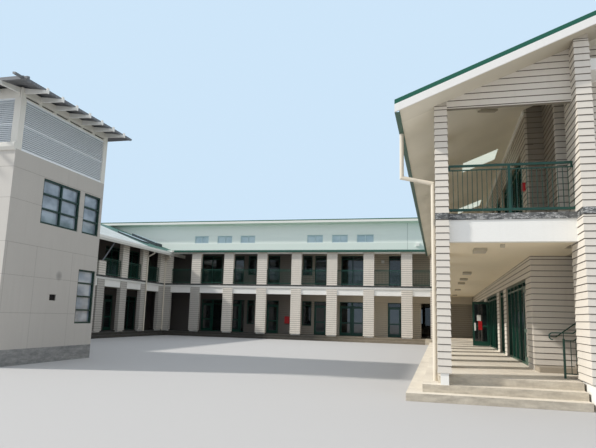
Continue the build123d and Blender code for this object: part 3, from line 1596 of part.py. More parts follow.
def save(name, pieces):
    solids = []
    for piece in pieces:
        solids.extend(piece.solids())
    home = Pos(-CENTRE_X, -CENTRE_Y, 0)
    moved = [home * solid for solid in solids]
    shape = moved[0] if len(moved) == 1 else Compound(children=moved)
    export_step(shape, f"parts/{name}.step")


def main():
    os.makedirs("parts", exist_ok=True)
    for name, maker in JOINED.items():
        save(name, [fuse(maker())])
    for name, maker in SEPARATE.items():
        save(name, maker())
    for name in DOORS:
        save(name, door(name))


main()
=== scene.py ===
import bpy
import math
from mathutils import Matrix, Vector


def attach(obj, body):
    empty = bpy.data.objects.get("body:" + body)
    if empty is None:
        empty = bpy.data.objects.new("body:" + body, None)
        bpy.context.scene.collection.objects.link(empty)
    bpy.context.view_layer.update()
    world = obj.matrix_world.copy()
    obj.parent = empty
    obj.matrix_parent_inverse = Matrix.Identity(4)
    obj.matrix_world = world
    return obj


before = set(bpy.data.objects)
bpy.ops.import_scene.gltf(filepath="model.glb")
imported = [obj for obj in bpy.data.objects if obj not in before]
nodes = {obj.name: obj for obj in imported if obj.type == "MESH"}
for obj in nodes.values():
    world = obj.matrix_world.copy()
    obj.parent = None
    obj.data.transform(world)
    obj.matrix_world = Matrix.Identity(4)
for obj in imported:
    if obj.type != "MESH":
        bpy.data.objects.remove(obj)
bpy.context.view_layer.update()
body = "building"

# Plan lines, in metres from the building's set-out point
DX, DY = 10.550, -30.375
RIGHT_WALL, BACK_WALL, LEFT_WALL = 2.350, 42.600, -23.560
RIGHT_OUTER, LEFT_OUTER, REAR = 8.600, -29.700, 48.800
GABLE_WALL_Y, GABLE_INFILL_Y, LEFT_END_Y = 12.700, 12.200, 17.890
DUCT_X, DUCT_Y, RECESS_Y = 2.810, 13.760, 15.300
TOWER = (-23.560, -12.315, 13.260, 17.890)
TOWER_EAST = TOWER[1]

# Levels
FLOORS = {"right": 0.48, "court": 0.34, "upper": 4.01}
TRANSOM = 2.196
LOUVRE_LOW, LOUVRE_HIGH = 6.446, 8.072

# Right roof: its ridge, its slope, and the height of its lining on the set-out line
RIDGE_X, RIGHT_SLOPE = 5.5, 0.40
LINING = 6.507

# Weatherboards: exposure, thickness at foot and head, and the shadow line on each head
BOARD = 0.150
BOARD_PROUD = 0.020
BOARD_TOP = 0.004
BOARD_SLOPE = (BOARD_PROUD - BOARD_TOP) / BOARD
SHADOW_LINE_H = 0.017
SHADOW_LINE_PROUD = 0.0012

# Joinery
FRAME_D = 0.070
LEAF_T = 0.044


def at(x, y, z):
    return (x + DX, y + DY, z)


def lining(x):
    """Height of the right balcony's raking lining."""
    return LINING + RIGHT_SLOPE * x


# Camera
EYE = at(0.030, -0.374, 1.656)
PITCH, YAW, ROLL = 0.16491, 0.25072, 0.0272
FOCAL_PX, IMAGE_PX, SENSOR_MM = 557.758, 596, 36.0
SEEN_TO = 400


def camera():
    data = bpy.data.cameras.new("camera")
    data.sensor_width = SENSOR_MM
    data.lens = FOCAL_PX / IMAGE_PX * SENSOR_MM
    data.clip_end = SEEN_TO
    cam = bpy.data.objects.new("camera", data)
    bpy.context.scene.collection.objects.link(cam)
    forward = Vector((-math.sin(YAW) * math.cos(PITCH), math.cos(YAW) * math.cos(PITCH), math.sin(PITCH)))
    flat_right = Vector((math.cos(YAW), math.sin(YAW), 0))
    flat_up = flat_right.cross(forward)
    right = flat_right * math.cos(ROLL) + flat_up * math.sin(ROLL)
    up = flat_up * math.cos(ROLL) - flat_right * math.sin(ROLL)
    turn = Matrix((right, up, -forward)).transposed()
    cam.matrix_world = Matrix.Translation(EYE) @ turn.to_4x4()
    bpy.context.scene.camera = cam


camera()


# Materials
def srgb(r, g, b):
    out = []
    for c in (r, g, b):
        c /= 255
        out.append(c / 12.92 if c <= 0.04045 else ((c + 0.055) / 1.055) ** 2.4)
    return (*out, 1.0)


class Paint:
    """A node material under construction; positions are in metres of the building."""

    def __init__(self, name, rough=0.6, spec=0.5):
        self.mat = bpy.data.materials.new(name)
        self.mat.use_nodes = True
        self.tree = self.mat.node_tree
        self.bsdf = self.tree.nodes["Principled BSDF"]
        self.bsdf.inputs["Roughness"].default_value = rough
        self.bsdf.inputs["Specular IOR Level"].default_value = spec
        self.coord = self.tree.nodes.new("ShaderNodeTexCoord").outputs["Object"]
        self.xyz = self.split(self.coord)
        self.normal = self.split(self.tree.nodes.new("ShaderNodeNewGeometry").outputs["True Normal"])
        self.relief = None

    def split(self, vector):
        n = self.tree.nodes.new("ShaderNodeSeparateXYZ")
        self.tree.links.new(vector, n.inputs[0])
        return n.outputs

    def link(self, value, socket):
        if isinstance(value, (int, float, tuple)):
            socket.default_value = value
        else:
            self.tree.links.new(value, socket)

    def math(self, op, a, b=0.0, clamp=False):
        n = self.tree.nodes.new("ShaderNodeMath")
        n.operation = op
        n.use_clamp = clamp
        self.link(a, n.inputs[0])
        self.link(b, n.inputs[1])
        return n.outputs[0]

    def noise(self, scale, detail=4.0, rough=0.55, stretch=(1, 1, 1)):
        m = self.tree.nodes.new("ShaderNodeMapping")
        m.inputs["Scale"].default_value = stretch
        self.tree.links.new(self.coord, m.inputs["Vector"])
        n = self.tree.nodes.new("ShaderNodeTexNoise")
        n.inputs["Scale"].default_value = scale
        n.inputs["Detail"].default_value = detail
        n.inputs["Roughness"].default_value = rough
        self.tree.links.new(m.outputs[0], n.inputs["Vector"])
        return n.outputs["Fac"]

    def ramp(self, value, stops):
        """Grey ramp through the (place, value) stops."""
        n = self.tree.nodes.new("ShaderNodeValToRGB")
        self.link(value, n.inputs[0])
        e = n.color_ramp.elements
        while len(e) < len(stops):
            e.new(0.5)
        for item, (p, c) in zip(e, stops):
            item.position = p
            item.color = (c, c, c, 1)
        return n.outputs[0]

    def mix(self, fac, a, b, kind="MIX"):
        n = self.tree.nodes.new("ShaderNodeMix")
        n.data_type = "RGBA"
        n.blend_type = kind
        self.link(fac, n.inputs[0])
        self.link(a, n.inputs[6])
        self.link(b, n.inputs[7])
        return n.outputs[2]

    def tint(self, color, tone, share, where):
        """The colour, with a share of the tone where the mask is 1."""
        return self.mix(self.math("MULTIPLY", where, share), color, srgb(*tone))

    def near(self, value, places, half):
        """1 where value lies within half of one of the places."""
        out = None
        for p in places:
            d = self.math("ABSOLUTE", self.math("SUBTRACT", value, p))
            hit = self.math("LESS_THAN", d, half)
            out = hit if out is None else self.math("MAXIMUM", out, hit)
        return out

    def every(self, value, pitch, half, start=0.0):
        """1 in a line of width 2 * half at every pitch; the added pitches keep the sum above zero."""
        whole = self.math("ADD", value, 500 * pitch - start)
        part = self.math("FRACT", self.math("DIVIDE", whole, pitch))
        return self.math("LESS_THAN", part, 2 * half / pitch)

    def within(self, **limits):
        """1 inside the given limits, in set-out metres, such as x=(2.2, 2.4)."""
        inside = None
        for axis, (low, high) in limits.items():
            shift = {"x": DX, "y": DY, "z": 0.0}[axis]
            place = self.xyz[axis.upper()]
            for op, limit in (("GREATER_THAN", low), ("LESS_THAN", high)):
                side = self.math(op, place, limit + shift)
                inside = side if inside is None else self.math("MULTIPLY", inside, side)
        return inside

    def across(self, x0, x1):
        """0 to the left of x0 and 1 to the right of x1, in set-out metres."""
        return self.math("DIVIDE", self.math("SUBTRACT", self.xyz["X"], x0 + DX), x1 - x0, True)

    def left_of(self, x):
        return self.math("LESS_THAN", self.xyz["X"], x + DX)

    def below(self, z):
        return self.math("LESS_THAN", self.xyz["Z"], z)

    def above(self, z):
        return self.math("GREATER_THAN", self.xyz["Z"], z)

    def faces(self, axis):
        """1 on the faces that look along the positive axis."""
        return self.math("GREATER_THAN", self.normal[axis], 0.5)

    def underside(self):
        return self.math("LESS_THAN", self.normal["Z"], -0.5)

    def bump(self, height, strength=0.3, distance=0.01):
        n = self.tree.nodes.new("ShaderNodeBump")
        n.inputs["Strength"].default_value = strength
        n.inputs["Distance"].default_value = distance
        self.link(height, n.inputs["Height"])
        if self.relief is not None:
            self.tree.links.new(self.relief, n.inputs["Normal"])
        self.relief = n.outputs[0]
        self.tree.links.new(self.relief, self.bsdf.inputs["Normal"])

    def color(self, value):
        self.link(value, self.bsdf.inputs["Base Color"])
        return self.mat


def weathered(name, base, dark, rough=0.6, spec=0.4, streak=0.35, grain=0.15):
    """Painted surface with soft mottling, rain streaks and a fine brushed grain."""
    p = Paint(name, rough, spec)
    mottle = p.ramp(p.noise(0.9, 5), [(0.35, 0.0), (0.75, 1.0)])
    streaks = p.ramp(p.noise(2.2, 6, 0.6, (3.0, 3.0, 0.25)), [(0.45, 0.0), (0.8, 1.0)])
    dirt = p.math("MULTIPLY", p.math("MAXIMUM", p.math("MULTIPLY", mottle, 0.6), streaks), streak)
    fine = p.noise(60, 3, 0.6, (0.3, 0.3, 3.0))
    tone = p.mix(dirt, srgb(*base), srgb(*dark))
    shade = p.ramp(fine, [(0.3, 1.0 - grain * 0.35), (0.7, 1.0)])
    p.bump(fine, 0.12, 0.002)
    return p, p.mix(1.0, tone, shade, "MULTIPLY")


def simple(name, base, dark, **kw):
    p, c = weathered(name, base, dark, **kw)
    return p.color(c)


# Walls behind the court's two verandahs, which carry painted shade
COURT_BACK = {"x": (-23.5, 0.2), "y": (42.45, 43.0)}
COURT_LEFT = {"x": (-24.0, -23.45), "y": (18.0, 42.7)}
COURT_DEEP_SHADE, COURT_MID_SHADE, PALE = (92, 88, 86), (112, 107, 102), (206, 197, 180)

# Boards and walls darkened by painted shade: where they are, the share of the tone, and the tone
GABLE_SHADE = ({"x": (0.26, 2.85), "y": (12.2, 12.4), "z": (6.3, 9.0)}, 0.50, (140, 138, 132))
UPPER_RIGHT_WALL_SHADE = ({"x": (2.2, 2.4), "y": (12.9, 42.4), "z": (4.1, 8.0)}, 0.35, (134, 124, 96))
BALCONY_CORNER_SHADE = ({"x": (2.4, 3.4), "y": (13.85, 15.7), "z": (4.2, 8.5)}, 0.70, (84, 74, 58))
LOWER_LEFT_PIERS_SHADE = ({"x": (-22.0, -16.2), "y": (12.0, 42.45), "z": (0.0, 3.9)}, 0.45, (120, 122, 124))
FAR_CROSS_WALL_SHADE = ({"x": (0.2, 2.4), "y": (42.3, 43.0), "z": (0.0, 3.9)}, 0.60, (84, 78, 60))
PAINTED_SHADE_PLACES = (GABLE_SHADE, UPPER_RIGHT_WALL_SHADE, BALCONY_CORNER_SHADE, LOWER_LEFT_PIERS_SHADE, FAR_CROSS_WALL_SHADE)


def court_shade_paint(p):
    """Painted shade on the court's walls: darkest at the left wing, and as pale as the other walls near
    the right wing.
    """
    c = p.mix(p.across(-18.0, -16.0), srgb(*COURT_DEEP_SHADE), srgb(*COURT_MID_SHADE))
    return p.mix(p.across(-12.5, -5.0), c, srgb(*PALE))


def wall_paint(p, c):
    """The walls' paint, with painted shade: darker in some places, on undersides, and at the back of the
    court.
    """
    # Painted shade in the shaded places listed above.
    for limits, share, tone in PAINTED_SHADE_PLACES:
        c = p.tint(c, tone, share, p.within(**limits))
    # Undersides of walls are painted darker, as painted shade.
    c = p.tint(c, (110, 100, 84), 0.5, p.underside())
    # The walls at the back of the court take the court's painted shade.
    in_court = p.math("MAXIMUM", p.within(**COURT_BACK), p.within(**COURT_LEFT))
    return p.color(p.mix(in_court, c, court_shade_paint(p)))


def board_material():
    p, c = weathered("weatherboard_paint", (224, 217, 206), (188, 180, 166), rough=0.55, streak=0.25)
    return wall_paint(p, c)


def wall_material():
    p, c = weathered("wall_behind_boards", (190, 182, 168), (160, 152, 140), rough=0.7)
    return wall_paint(p, c)


def verge_material():
    """White barge board with a green cap that follows the two slopes."""
    eave, run, cap = 6.44, 6.38, 0.105
    p, c = weathered("barge_paint", (242, 240, 236), (214, 210, 202), rough=0.5, streak=0.2)
    from_ridge = p.math("ABSOLUTE", p.math("SUBTRACT", p.xyz["X"], RIDGE_X + DX))
    line = p.math("SUBTRACT", eave + RIGHT_SLOPE * run - cap, p.math("MULTIPLY", from_ridge, RIGHT_SLOPE))
    return p.color(p.mix(p.math("GREATER_THAN", p.xyz["Z"], line), c, srgb(24, 92, 72)))


def kerb_material():
    """Roof lights: dark kerbs under a sheet painted pale, as a painted reflection of the sky."""
    p, c = weathered("light_kerb", (66, 76, 80), (44, 52, 56), rough=0.5, streak=0.3)
    # The top faces are painted with a reflection of the sky.
    sheet = p.mix(p.noise(2, 4), srgb(150, 172, 184), srgb(186, 202, 210))
    return p.color(p.mix(p.faces("Z"), c, sheet))


def gutter_material():
    """Dark green gutters; the one of the left wing is pale."""
    p, c = weathered("gutter_paint", (42, 92, 78), (30, 60, 52), rough=0.4, streak=0.4)
    return p.color(p.mix(p.left_of(-20.4), c, srgb(206, 204, 196)))


def concrete_material(name, tops, faces, court_steps_shade=False):
    """Stained concrete in bays with open joints; tops and faces each run between two tones, and the faces
    are painted darker than the tops as painted shade.
    """
    bay, joint_half = 2.54, 0.004
    p = Paint(name, 0.85, 0.3)
    big = p.ramp(p.noise(0.7, 6, 0.6), [(0.3, 0.0), (0.7, 1.0)])
    small = p.noise(14, 8, 0.65)
    stain = p.ramp(p.noise(2.6, 8, 0.62, (1, 1, 4)), [(0.36, 0.0), (0.8, 1.0)])
    side = p.math("LESS_THAN", p.math("ABSOLUTE", p.normal["Z"]), 0.5)
    # Tops are painted lighter than the upright faces, as painted light and shade; the streaks on the
    # faces are stains.
    top = p.mix(big, srgb(*tops[0]), srgb(*tops[1]))
    face = p.mix(stain, srgb(*faces[0]), srgb(*faces[1]))
    c = p.mix(side, top, face)
    # The court's steps are painted darker towards the left wing, as painted shade.
    if court_steps_shade:
        court_shade_tone = p.mix(p.across(-9.0, -5.0), srgb(96, 98, 100), srgb(186, 182, 176))
        c = p.mix(p.left_of(-1.0), c, p.mix(1.0, c, court_shade_tone, "MULTIPLY"))
    c = p.tint(c, (90, 84, 76), 0.6, p.every(p.xyz["Y"], bay, joint_half))
    c = p.mix(1.0, c, p.ramp(small, [(0.3, 0.86), (0.7, 1.0)]), "MULTIPLY")
    p.bump(small, 0.25, 0.004)
    return p.color(c)


def lead_material():
    """Dressed lead with seams and painted highlights along its creases; round the court it is painted
    darker as painted shade, a thin dark line over a pale edge.
    """
    sheet, seam_half, court_foot = 1.27, 0.006, 3.885
    p = Paint("dressed_lead", 0.5, 0.4)
    a = p.ramp(p.noise(5, 7, 0.7), [(0.38, 0.0), (0.62, 1.0)])
    b = p.ramp(p.noise(22, 6, 0.7, (1, 1, 2)), [(0.55, 0.0), (0.7, 1.0)])
    crease_highlight = p.ramp(p.noise(7, 6, 0.65, (1, 1, 4)), [(0.53, 0.0), (0.57, 1.0), (0.61, 0.0)])
    court = p.left_of(-0.5)
    c = p.mix(a, srgb(54, 56, 58), srgb(112, 112, 110))
    c = p.tint(c, (190, 188, 182), 0.55, b)
    # Painted highlight along the creases.
    c = p.tint(c, (226, 226, 224), 0.8, crease_highlight)
    c = p.tint(c, (30, 30, 32), 0.7, p.every(p.xyz["X"], sheet, seam_half))
    # Round the court the lead is painted darker, as painted shade.
    c = p.tint(c, (30, 34, 30), 0.7, court)
    c = p.mix(p.math("MULTIPLY", court, p.below(court_foot)), c, srgb(216, 215, 210))
    p.bump(p.noise(9, 6, 0.7), 0.5, 0.02)
    return p.color(c)


def glass_material():
    p = Paint("window_glass", 0.04, 0.8)
    p.bump(p.noise(0.8, 2), 0.05, 0.01)
    p.bsdf.inputs["Alpha"].default_value = 0.62
    p.bsdf.inputs["Coat Weight"].default_value = 0.6
    p.bsdf.inputs["Coat Roughness"].default_value = 0.02
    return p.color(p.mix(p.noise(0.5, 2), srgb(24, 30, 32), srgb(40, 48, 52)))


def pane_material(name, dark, pale, scale=1.2):
    """Glass whose colour is painted: a painted reflection of the sky and the painted shade of the dim
    room behind it, in soft uneven patches.
    """
    p = Paint(name, 0.06, 0.8)
    p.bsdf.inputs["Coat Weight"].default_value = 0.7
    p.bsdf.inputs["Coat Roughness"].default_value = 0.03
    patch = p.ramp(p.noise(scale, 3, 0.5, (1, 1, 1.6)), [(0.38, 0.0), (0.62, 1.0)])
    p.bump(p.noise(0.7, 2), 0.05, 0.01)
    return p.color(p.mix(patch, srgb(*dark), srgb(*pale)))


def glare_on_near_part(p, sheet, mottle):
    """The near part of the left roof is painted pale, as painted glare, up to a slanting line."""
    slant, line = 0.35, 2.6
    near = p.math("LESS_THAN", p.math("ADD", p.xyz["Y"], p.math("MULTIPLY", p.xyz["X"], slant)), line)
    return p.mix(near, sheet, p.mix(mottle, srgb(214, 218, 216), srgb(188, 196, 194)))


def shade_at_gable(p, below):
    """The right roof's soffit is painted darker at the gable, towards the ridge, as painted shade."""
    gable = p.math("MULTIPLY", p.within(x=(-1.0, 12.0), y=(10.0, 12.3)), p.across(-1.5, 2.6))
    return p.tint(below, (176, 166, 146), 0.75, gable)


def roof_material(name, soffit, ribs_along, sheet_change=None, soffit_change=None, cap_foot=None):
    """Ribbed green sheet on top with a painted highlight along its ribs, painted fascia, green above
    cap_foot, and a smooth soffit below.
    """
    pitch, rib_half, soffit_drop = 0.19, 0.022, 14
    p = Paint(name, 0.62, 0.25)
    mottle = p.ramp(p.noise(1.3, 6), [(0.35, 0.0), (0.7, 1.0)])
    sheet = p.mix(mottle, srgb(84, 122, 112), srgb(66, 104, 94))
    if sheet_change:
        sheet = sheet_change(p, sheet, mottle)
    rib = p.every(p.xyz[ribs_along], pitch, rib_half)
    # Painted highlight along the ribs.
    sheet = p.tint(sheet, (130, 160, 150), 0.25, rib)
    patch = p.ramp(p.noise(0.6, 4), [(0.3, 0.0), (0.8, 1.0)])
    below = p.mix(patch, srgb(*soffit), srgb(*[c - soffit_drop for c in soffit]))
    if soffit_change:
        below = soffit_change(p, below)
    edge = srgb(236, 236, 230)
    if cap_foot:
        edge = p.mix(p.above(cap_foot), edge, srgb(28, 96, 78))
    topness = p.faces("Z")
    c = p.mix(p.underside(), p.mix(topness, edge, sheet), below)
    p.bump(p.math("MULTIPLY", rib, topness), 0.6, 0.02)
    return p.color(c)


PANEL_LEVELS = (1.55, 2.67, 3.635, 4.95, 5.9)
PANEL_UPRIGHTS = (13.36, 14.62, 16.42)
PANEL_PITCH = 1.87
JOINT_HALF = 0.007
SPOT_Y, SPOT_Z, SPOT_REACH = 15.80, 2.79, 0.034


def panel_joints(p, east):
    """Joints of the tower's panels; its east face has three uprights up to the third level."""
    level = p.near(p.xyz["Z"], PANEL_LEVELS, JOINT_HALF)
    upright = p.near(p.xyz["Y"], [y + DY for y in PANEL_UPRIGHTS], JOINT_HALF)
    along = p.every(p.xyz["X"], PANEL_PITCH, JOINT_HALF, TOWER_EAST + DX)
    front = p.math("MULTIPLY", p.math("SUBTRACT", 1.0, east), along)
    side = p.math("MULTIPLY", east, p.math("MULTIPLY", upright, p.below(PANEL_LEVELS[2])))
    return p.math("MAXIMUM", level, p.math("MAXIMUM", front, side))


def tower_spot(p, east):
    """The round grey mark on the tower's east face, soft at its rim."""
    dy = p.math("SUBTRACT", p.xyz["Y"], SPOT_Y + DY)
    dz = p.math("SUBTRACT", p.xyz["Z"], SPOT_Z)
    away = p.math("ADD", p.math("MULTIPLY", dy, dy), p.math("MULTIPLY", dz, dz))
    inside = p.math("SUBTRACT", 1.0, p.math("DIVIDE", away, SPOT_REACH), True)
    return p.math("MULTIPLY", east, inside, True)


def tower_material():
    """Flat panels with the east face painted darker as painted shade, a cream head ring above the
    louvres, and the backs of the ring's slots painted dark as painted shade.
    """
    slot_deep, slot_half = 0.06, 0.004
    p, c = weathered("precast_panel", (208, 204, 197), (182, 177, 170), rough=0.8, streak=0.3, grain=0.2)
    east = p.faces("X")
    joints = panel_joints(p, east)
    # The east face is painted darker, as painted shade.
    c = p.tint(c, (110, 106, 102), 0.22, east)
    c = p.tint(c, (130, 126, 120), 0.5, joints)
    c = p.tint(c, (112, 110, 108), 0.55, tower_spot(p, east))
    plate = p.above(LOUVRE_HIGH + 0.001)
    c = p.mix(plate, c, srgb(226, 224, 216))
    # The backs of the ring's slots are painted dark, as painted shade.
    slot_shade = p.near(p.xyz["X"], (TOWER_EAST - slot_deep + DX,), slot_half)
    c = p.mix(p.math("MULTIPLY", plate, slot_shade), c, srgb(40, 38, 38))
    p.bump(p.math("SUBTRACT", 1.0, joints), 0.5, 0.006)
    p.bump(p.noise(35, 6, 0.7), 0.15, 0.004)
    return p.color(c)


def clerestory_material():
    """Pale flat cladding with one upright joint, painted a little darker below 7.46 m as painted shade
    over the strip that the sun lights under the high roof's shadow; below the lean-to roof it takes the
    court walls' painted shade.
    """
    shade_strip_top, wall_top, joint_x, joint_half = 7.46, 6.75, -2.304, 0.02
    p, c = weathered("pale_flat_cladding", (250, 254, 249), (236, 242, 235), rough=0.7, streak=0.15)
    # Painted shade on the sunlit strip below the high roof's shadow.
    c = p.mix(p.below(shade_strip_top), c, srgb(232, 238, 232))
    c = p.tint(c, (130, 142, 136), 0.5, p.near(p.xyz["X"], (joint_x + DX,), joint_half))
    return p.color(p.mix(p.below(wall_top), c, court_shade_paint(p)))


def fly_material():
    """Grey ribbed sheet with a painted highlight along its ribs."""
    pitch, rib_half = 0.2, 0.02
    p, c = weathered("fly_roof_sheet", (112, 114, 118), (78, 80, 84), rough=0.5, streak=0.4)
    rib = p.every(p.xyz["Y"], pitch, rib_half)
    # Painted highlight along the ribs.
    c = p.tint(c, (140, 142, 146), 0.4, rib)
    p.bump(rib, 0.5, 0.02)
    return p.color(c)


def frames_material():
    """Dark green frames, darker on the tower; those of the clerestory are pale."""
    clerestory_foot = 7.3
    p, c = weathered("window_frame_paint", (18, 72, 58), (10, 40, 32), rough=0.35, streak=0.4)
    c = p.tint(c, (8, 30, 26), 0.6, p.within(x=(-13.0, -12.0), y=(13.0, 18.0)))
    return p.color(p.mix(p.above(clerestory_foot), c, srgb(206, 222, 226)))


def panel_glow_material():
    """Glazed panel that glows as painted light, standing in for the sky that lights it from above."""
    p = Paint("sky_lit_panel", 0.3, 0.5)
    tone = p.mix(p.noise(1.5, 3), srgb(236, 244, 234), srgb(214, 228, 216))
    # A painted glow: the panel emits light though it is no lamp.
    p.link(tone, p.bsdf.inputs["Emission Color"])
    p.bsdf.inputs["Emission Strength"].default_value = 0.7
    return p.color(tone)


# A dark line painted on each board's head, as the painted shadow that the board above casts.
shadow_line_mat = simple("board_shadow_line", (104, 96, 86), (84, 78, 70), rough=0.8)
white_mat = simple("white_trim_paint", (244, 243, 238), (214, 211, 202), rough=0.5, streak=0.2)
green_mat = simple("green_enamel", (18, 72, 58), (10, 40, 32), rough=0.35, spec=0.5, streak=0.4)
pipe_mat = simple("cream_pipe_paint", (226, 218, 202), (186, 174, 156), rough=0.45, streak=0.4)
louvre_mat = simple("louvre_aluminium", (238, 243, 246), (212, 219, 224), rough=0.5, streak=0.2)
louvre_back_mat = simple("louvre_shade", (176, 184, 190), (156, 164, 172), rough=0.7, streak=0.3)
corner_mat = simple("cream_cover_board", (226, 224, 216), (196, 192, 182), rough=0.5, streak=0.3)
steel_mat = simple("fly_steel_paint", (232, 232, 228), (186, 184, 178), rough=0.45, streak=0.3)
stair_mat = simple("stair_timber", (170, 160, 144), (112, 102, 88), rough=0.7, streak=0.6)
strut_mat = simple("grey_strut_paint", (136, 138, 146), (104, 106, 114), rough=0.45, streak=0.3)
dark_mat = simple("dark_gap", (44, 40, 40), (26, 24, 24), rough=0.8)
sheet_mat = simple("paper_white", (240, 240, 236), (222, 220, 212), rough=0.8, streak=0.1)
red_mat = simple("signal_red", (200, 30, 36), (150, 20, 26), rough=0.4, streak=0.2)
lamp_mat = simple("lamp_diffuser", (188, 180, 162), (150, 140, 120), rough=0.4, streak=0.3)
soffit_mat = simple("soffit_lining", (246, 234, 208), (228, 214, 186), rough=0.6, streak=0.35)
concrete_mat = concrete_material("weathered_concrete", ((238, 230, 214), (214, 204, 188)),
                                 ((206, 197, 180), (160, 151, 138)), court_steps_shade=True)
plinth_mat = concrete_material("grey_plinth", ((190, 188, 184), (170, 168, 164)),
                               ((160, 160, 158), (104, 106, 108)))
# Panes painted with the dim room's shade, or with a reflection of the sky.
dim_pane_mat = pane_material("dim_pane", (14, 18, 18), (40, 48, 50))
tower_pane_mat = pane_material("sky_pane", (78, 90, 102), (160, 172, 184), 0.8)
high_pane_mat = pane_material("pale_blue_pane", (176, 198, 208), (204, 220, 226), 0.6)
board_mat = board_material()
wall_mat = wall_material()
verge_mat = verge_material()
kerb_mat = kerb_material()
gutter_mat = gutter_material()
lead_mat = lead_material()
glass_mat = glass_material()
tower_mat = tower_material()
clad_mat = clerestory_material()
fly_mat = fly_material()
frame_mat = frames_material()

# The look of each node; the leaves that aren't named are green, and the rest has the walls' paint.
HIGH_ROOF_CAP_FOOT = 9.225
LOOKS = {
    "ground_floor": concrete_mat,
    "steps": concrete_mat,
    "upper_floor": soffit_mat,
    "floor_flashing": lead_mat,
    "pier_bases": white_mat,
    "edge_beams": white_mat,
    "verge_boards": verge_mat,
    "end_canopy": white_mat,
    "eave_strut": strut_mat,
    "tower_plinth": plinth_mat,
    "tower_floor": plinth_mat,
    "tower_walls": tower_mat,
    "tower_east_wall": tower_mat,
    "tower_plate": tower_mat,
    "tower_trim": corner_mat,
    "tower_louvres": louvre_back_mat,
    "tower_outriggers": steel_mat,
    "tower_purlins": fly_mat,
    "tower_roof": fly_mat,
    "frames_lower": frame_mat,
    "frames_upper": frame_mat,
    "outer_frames": frame_mat,
    "door_frames": frame_mat,
    "glass_lower": glass_mat,
    "glass_upper": glass_mat,
    "outer_glass": glass_mat,
    "gable_balustrade": green_mat,
    "court_balustrades": green_mat,
    "stair_rail": green_mat,
    "stair_treads": stair_mat,
    "stair_strings": stair_mat,
    "gutters": gutter_mat,
    "downpipes": pipe_mat,
    "clerestory_bands": clad_mat,
    "clerestory_panels": clad_mat,
    "roof_lights": kerb_mat,
    "right_roof": roof_material("right_roof_sheet", (246, 240, 224), "Y", soffit_change=shade_at_gable),
    "left_roof": roof_material("left_roof_sheet", (176, 174, 164), "Y", sheet_change=glare_on_near_part),
    "low_roof": roof_material("low_roof_sheet", (176, 172, 160), "X"),
    "high_roof": roof_material("high_roof_sheet", (242, 250, 236), "X", cap_foot=HIGH_ROOF_CAP_FOOT),
}
for name, obj in nodes.items():
    plain_mat = green_mat if "_door" in name else wall_mat
    obj.data.materials.clear()
    obj.data.materials.append(LOOKS.get(name, plain_mat))


# Mesh building
class Stack:
    """Gathers closed pieces into one mesh."""

    def __init__(self):
        self.verts = []
        self.faces = []

    def hexa(self, low, high):
        """A solid between two quads given in the same order."""
        k = len(self.verts)
        self.verts += list(low) + list(high)
        self.faces += [(k + 3, k + 2, k + 1, k), (k + 4, k + 5, k + 6, k + 7)]
        for i in range(4):
            j = (i + 1) % 4
            self.faces.append((k + i, k + j, k + 4 + j, k + 4 + i))

    def box(self, x0, x1, y0, y1, z0, z1):
        low = [(x0, y0, z0), (x1, y0, z0), (x1, y1, z0), (x0, y1, z0)]
        self.hexa(low, [(x, y, z1) for x, y, _ in low])

    def placed(self, xs, ys, zs):
        """A box between limits in set-out metres."""
        self.box(xs[0] + DX, xs[1] + DX, ys[0] + DY, ys[1] + DY, *zs)

    def sheet(self, corners, thick):
        """A plate of one thickness over four corners."""
        self.hexa(corners, [(x, y, z + thick) for x, y, z in corners])

    def make(self, name, mat, slot, owner=body):
        mesh = bpy.data.meshes.new(name)
        mesh.from_pydata(self.verts, [], self.faces)
        mesh.update()
        obj = bpy.data.objects.new(name, mesh)
        bpy.context.scene.collection.objects.link(obj)
        obj.data.materials.append(mat)
        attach(obj, owner)


def slab(stack, axis, near, far, a, b, z0, z1):
    """A box from near to far along the axis, and from a to b along the other level axis."""
    if axis == "x":
        stack.box(near, far, a, b, z0, z1)
    else:
        stack.box(a, b, near, far, z0, z1)


# Reading the solids
def flat_faces(node):
    """The node's flat faces as (normal, corner points), where the node stands at rest."""
    mesh = nodes[node].data
    home = nodes[node].matrix_world
    parent = list(range(len(mesh.vertices)))

    def root(a):
        while parent[a] != a:
            parent[a] = parent[parent[a]]
            a = parent[a]
        return a

    for poly in mesh.polygons:
        for v in poly.vertices[1:]:
            parent[root(v)] = root(poly.vertices[0])
    groups = {}
    for poly in mesh.polygons:
        groups.setdefault(root(poly.vertices[0]), []).append(poly)
    out = []
    for polys in groups.values():
        used = {v for p in polys for v in p.vertices}
        corners = {tuple(round(c, 4) for c in home @ mesh.vertices[v].co) for v in used}
        out.append((home.to_3x3() @ polys[0].normal, sorted(corners)))
    return out


def extent(points):
    """Lowest and highest values of the points on each axis."""
    lows = [min(p[k] for p in points) for k in range(3)]
    highs = [max(p[k] for p in points) for k in range(3)]
    return lows, highs


def upright_faces(node, wide, high):
    """Upright faces that look along +X or +Y: (axis, place, from, to, foot, head)."""
    out = []
    for normal, points in flat_faces(node):
        lows, highs = extent(points)
        for k in (0, 1):
            a, b = lows[1 - k], highs[1 - k]
            if normal[k] > 0.99 and b - a > wide and highs[2] - lows[2] > high:
                out.append(("xy"[k], points[0][k], a, b, lows[2], highs[2]))
    return out


def is_tower(axis, place, a):
    return axis == "x" and abs(place - TOWER_EAST - DX) < 0.2 and a < TOWER[3] + DY


def is_outer(axis, place):
    reach = 0.4
    if axis == "y":
        return place > REAR + DY - reach
    return place > RIGHT_OUTER + DX - reach or place < LEFT_OUTER + DX + reach


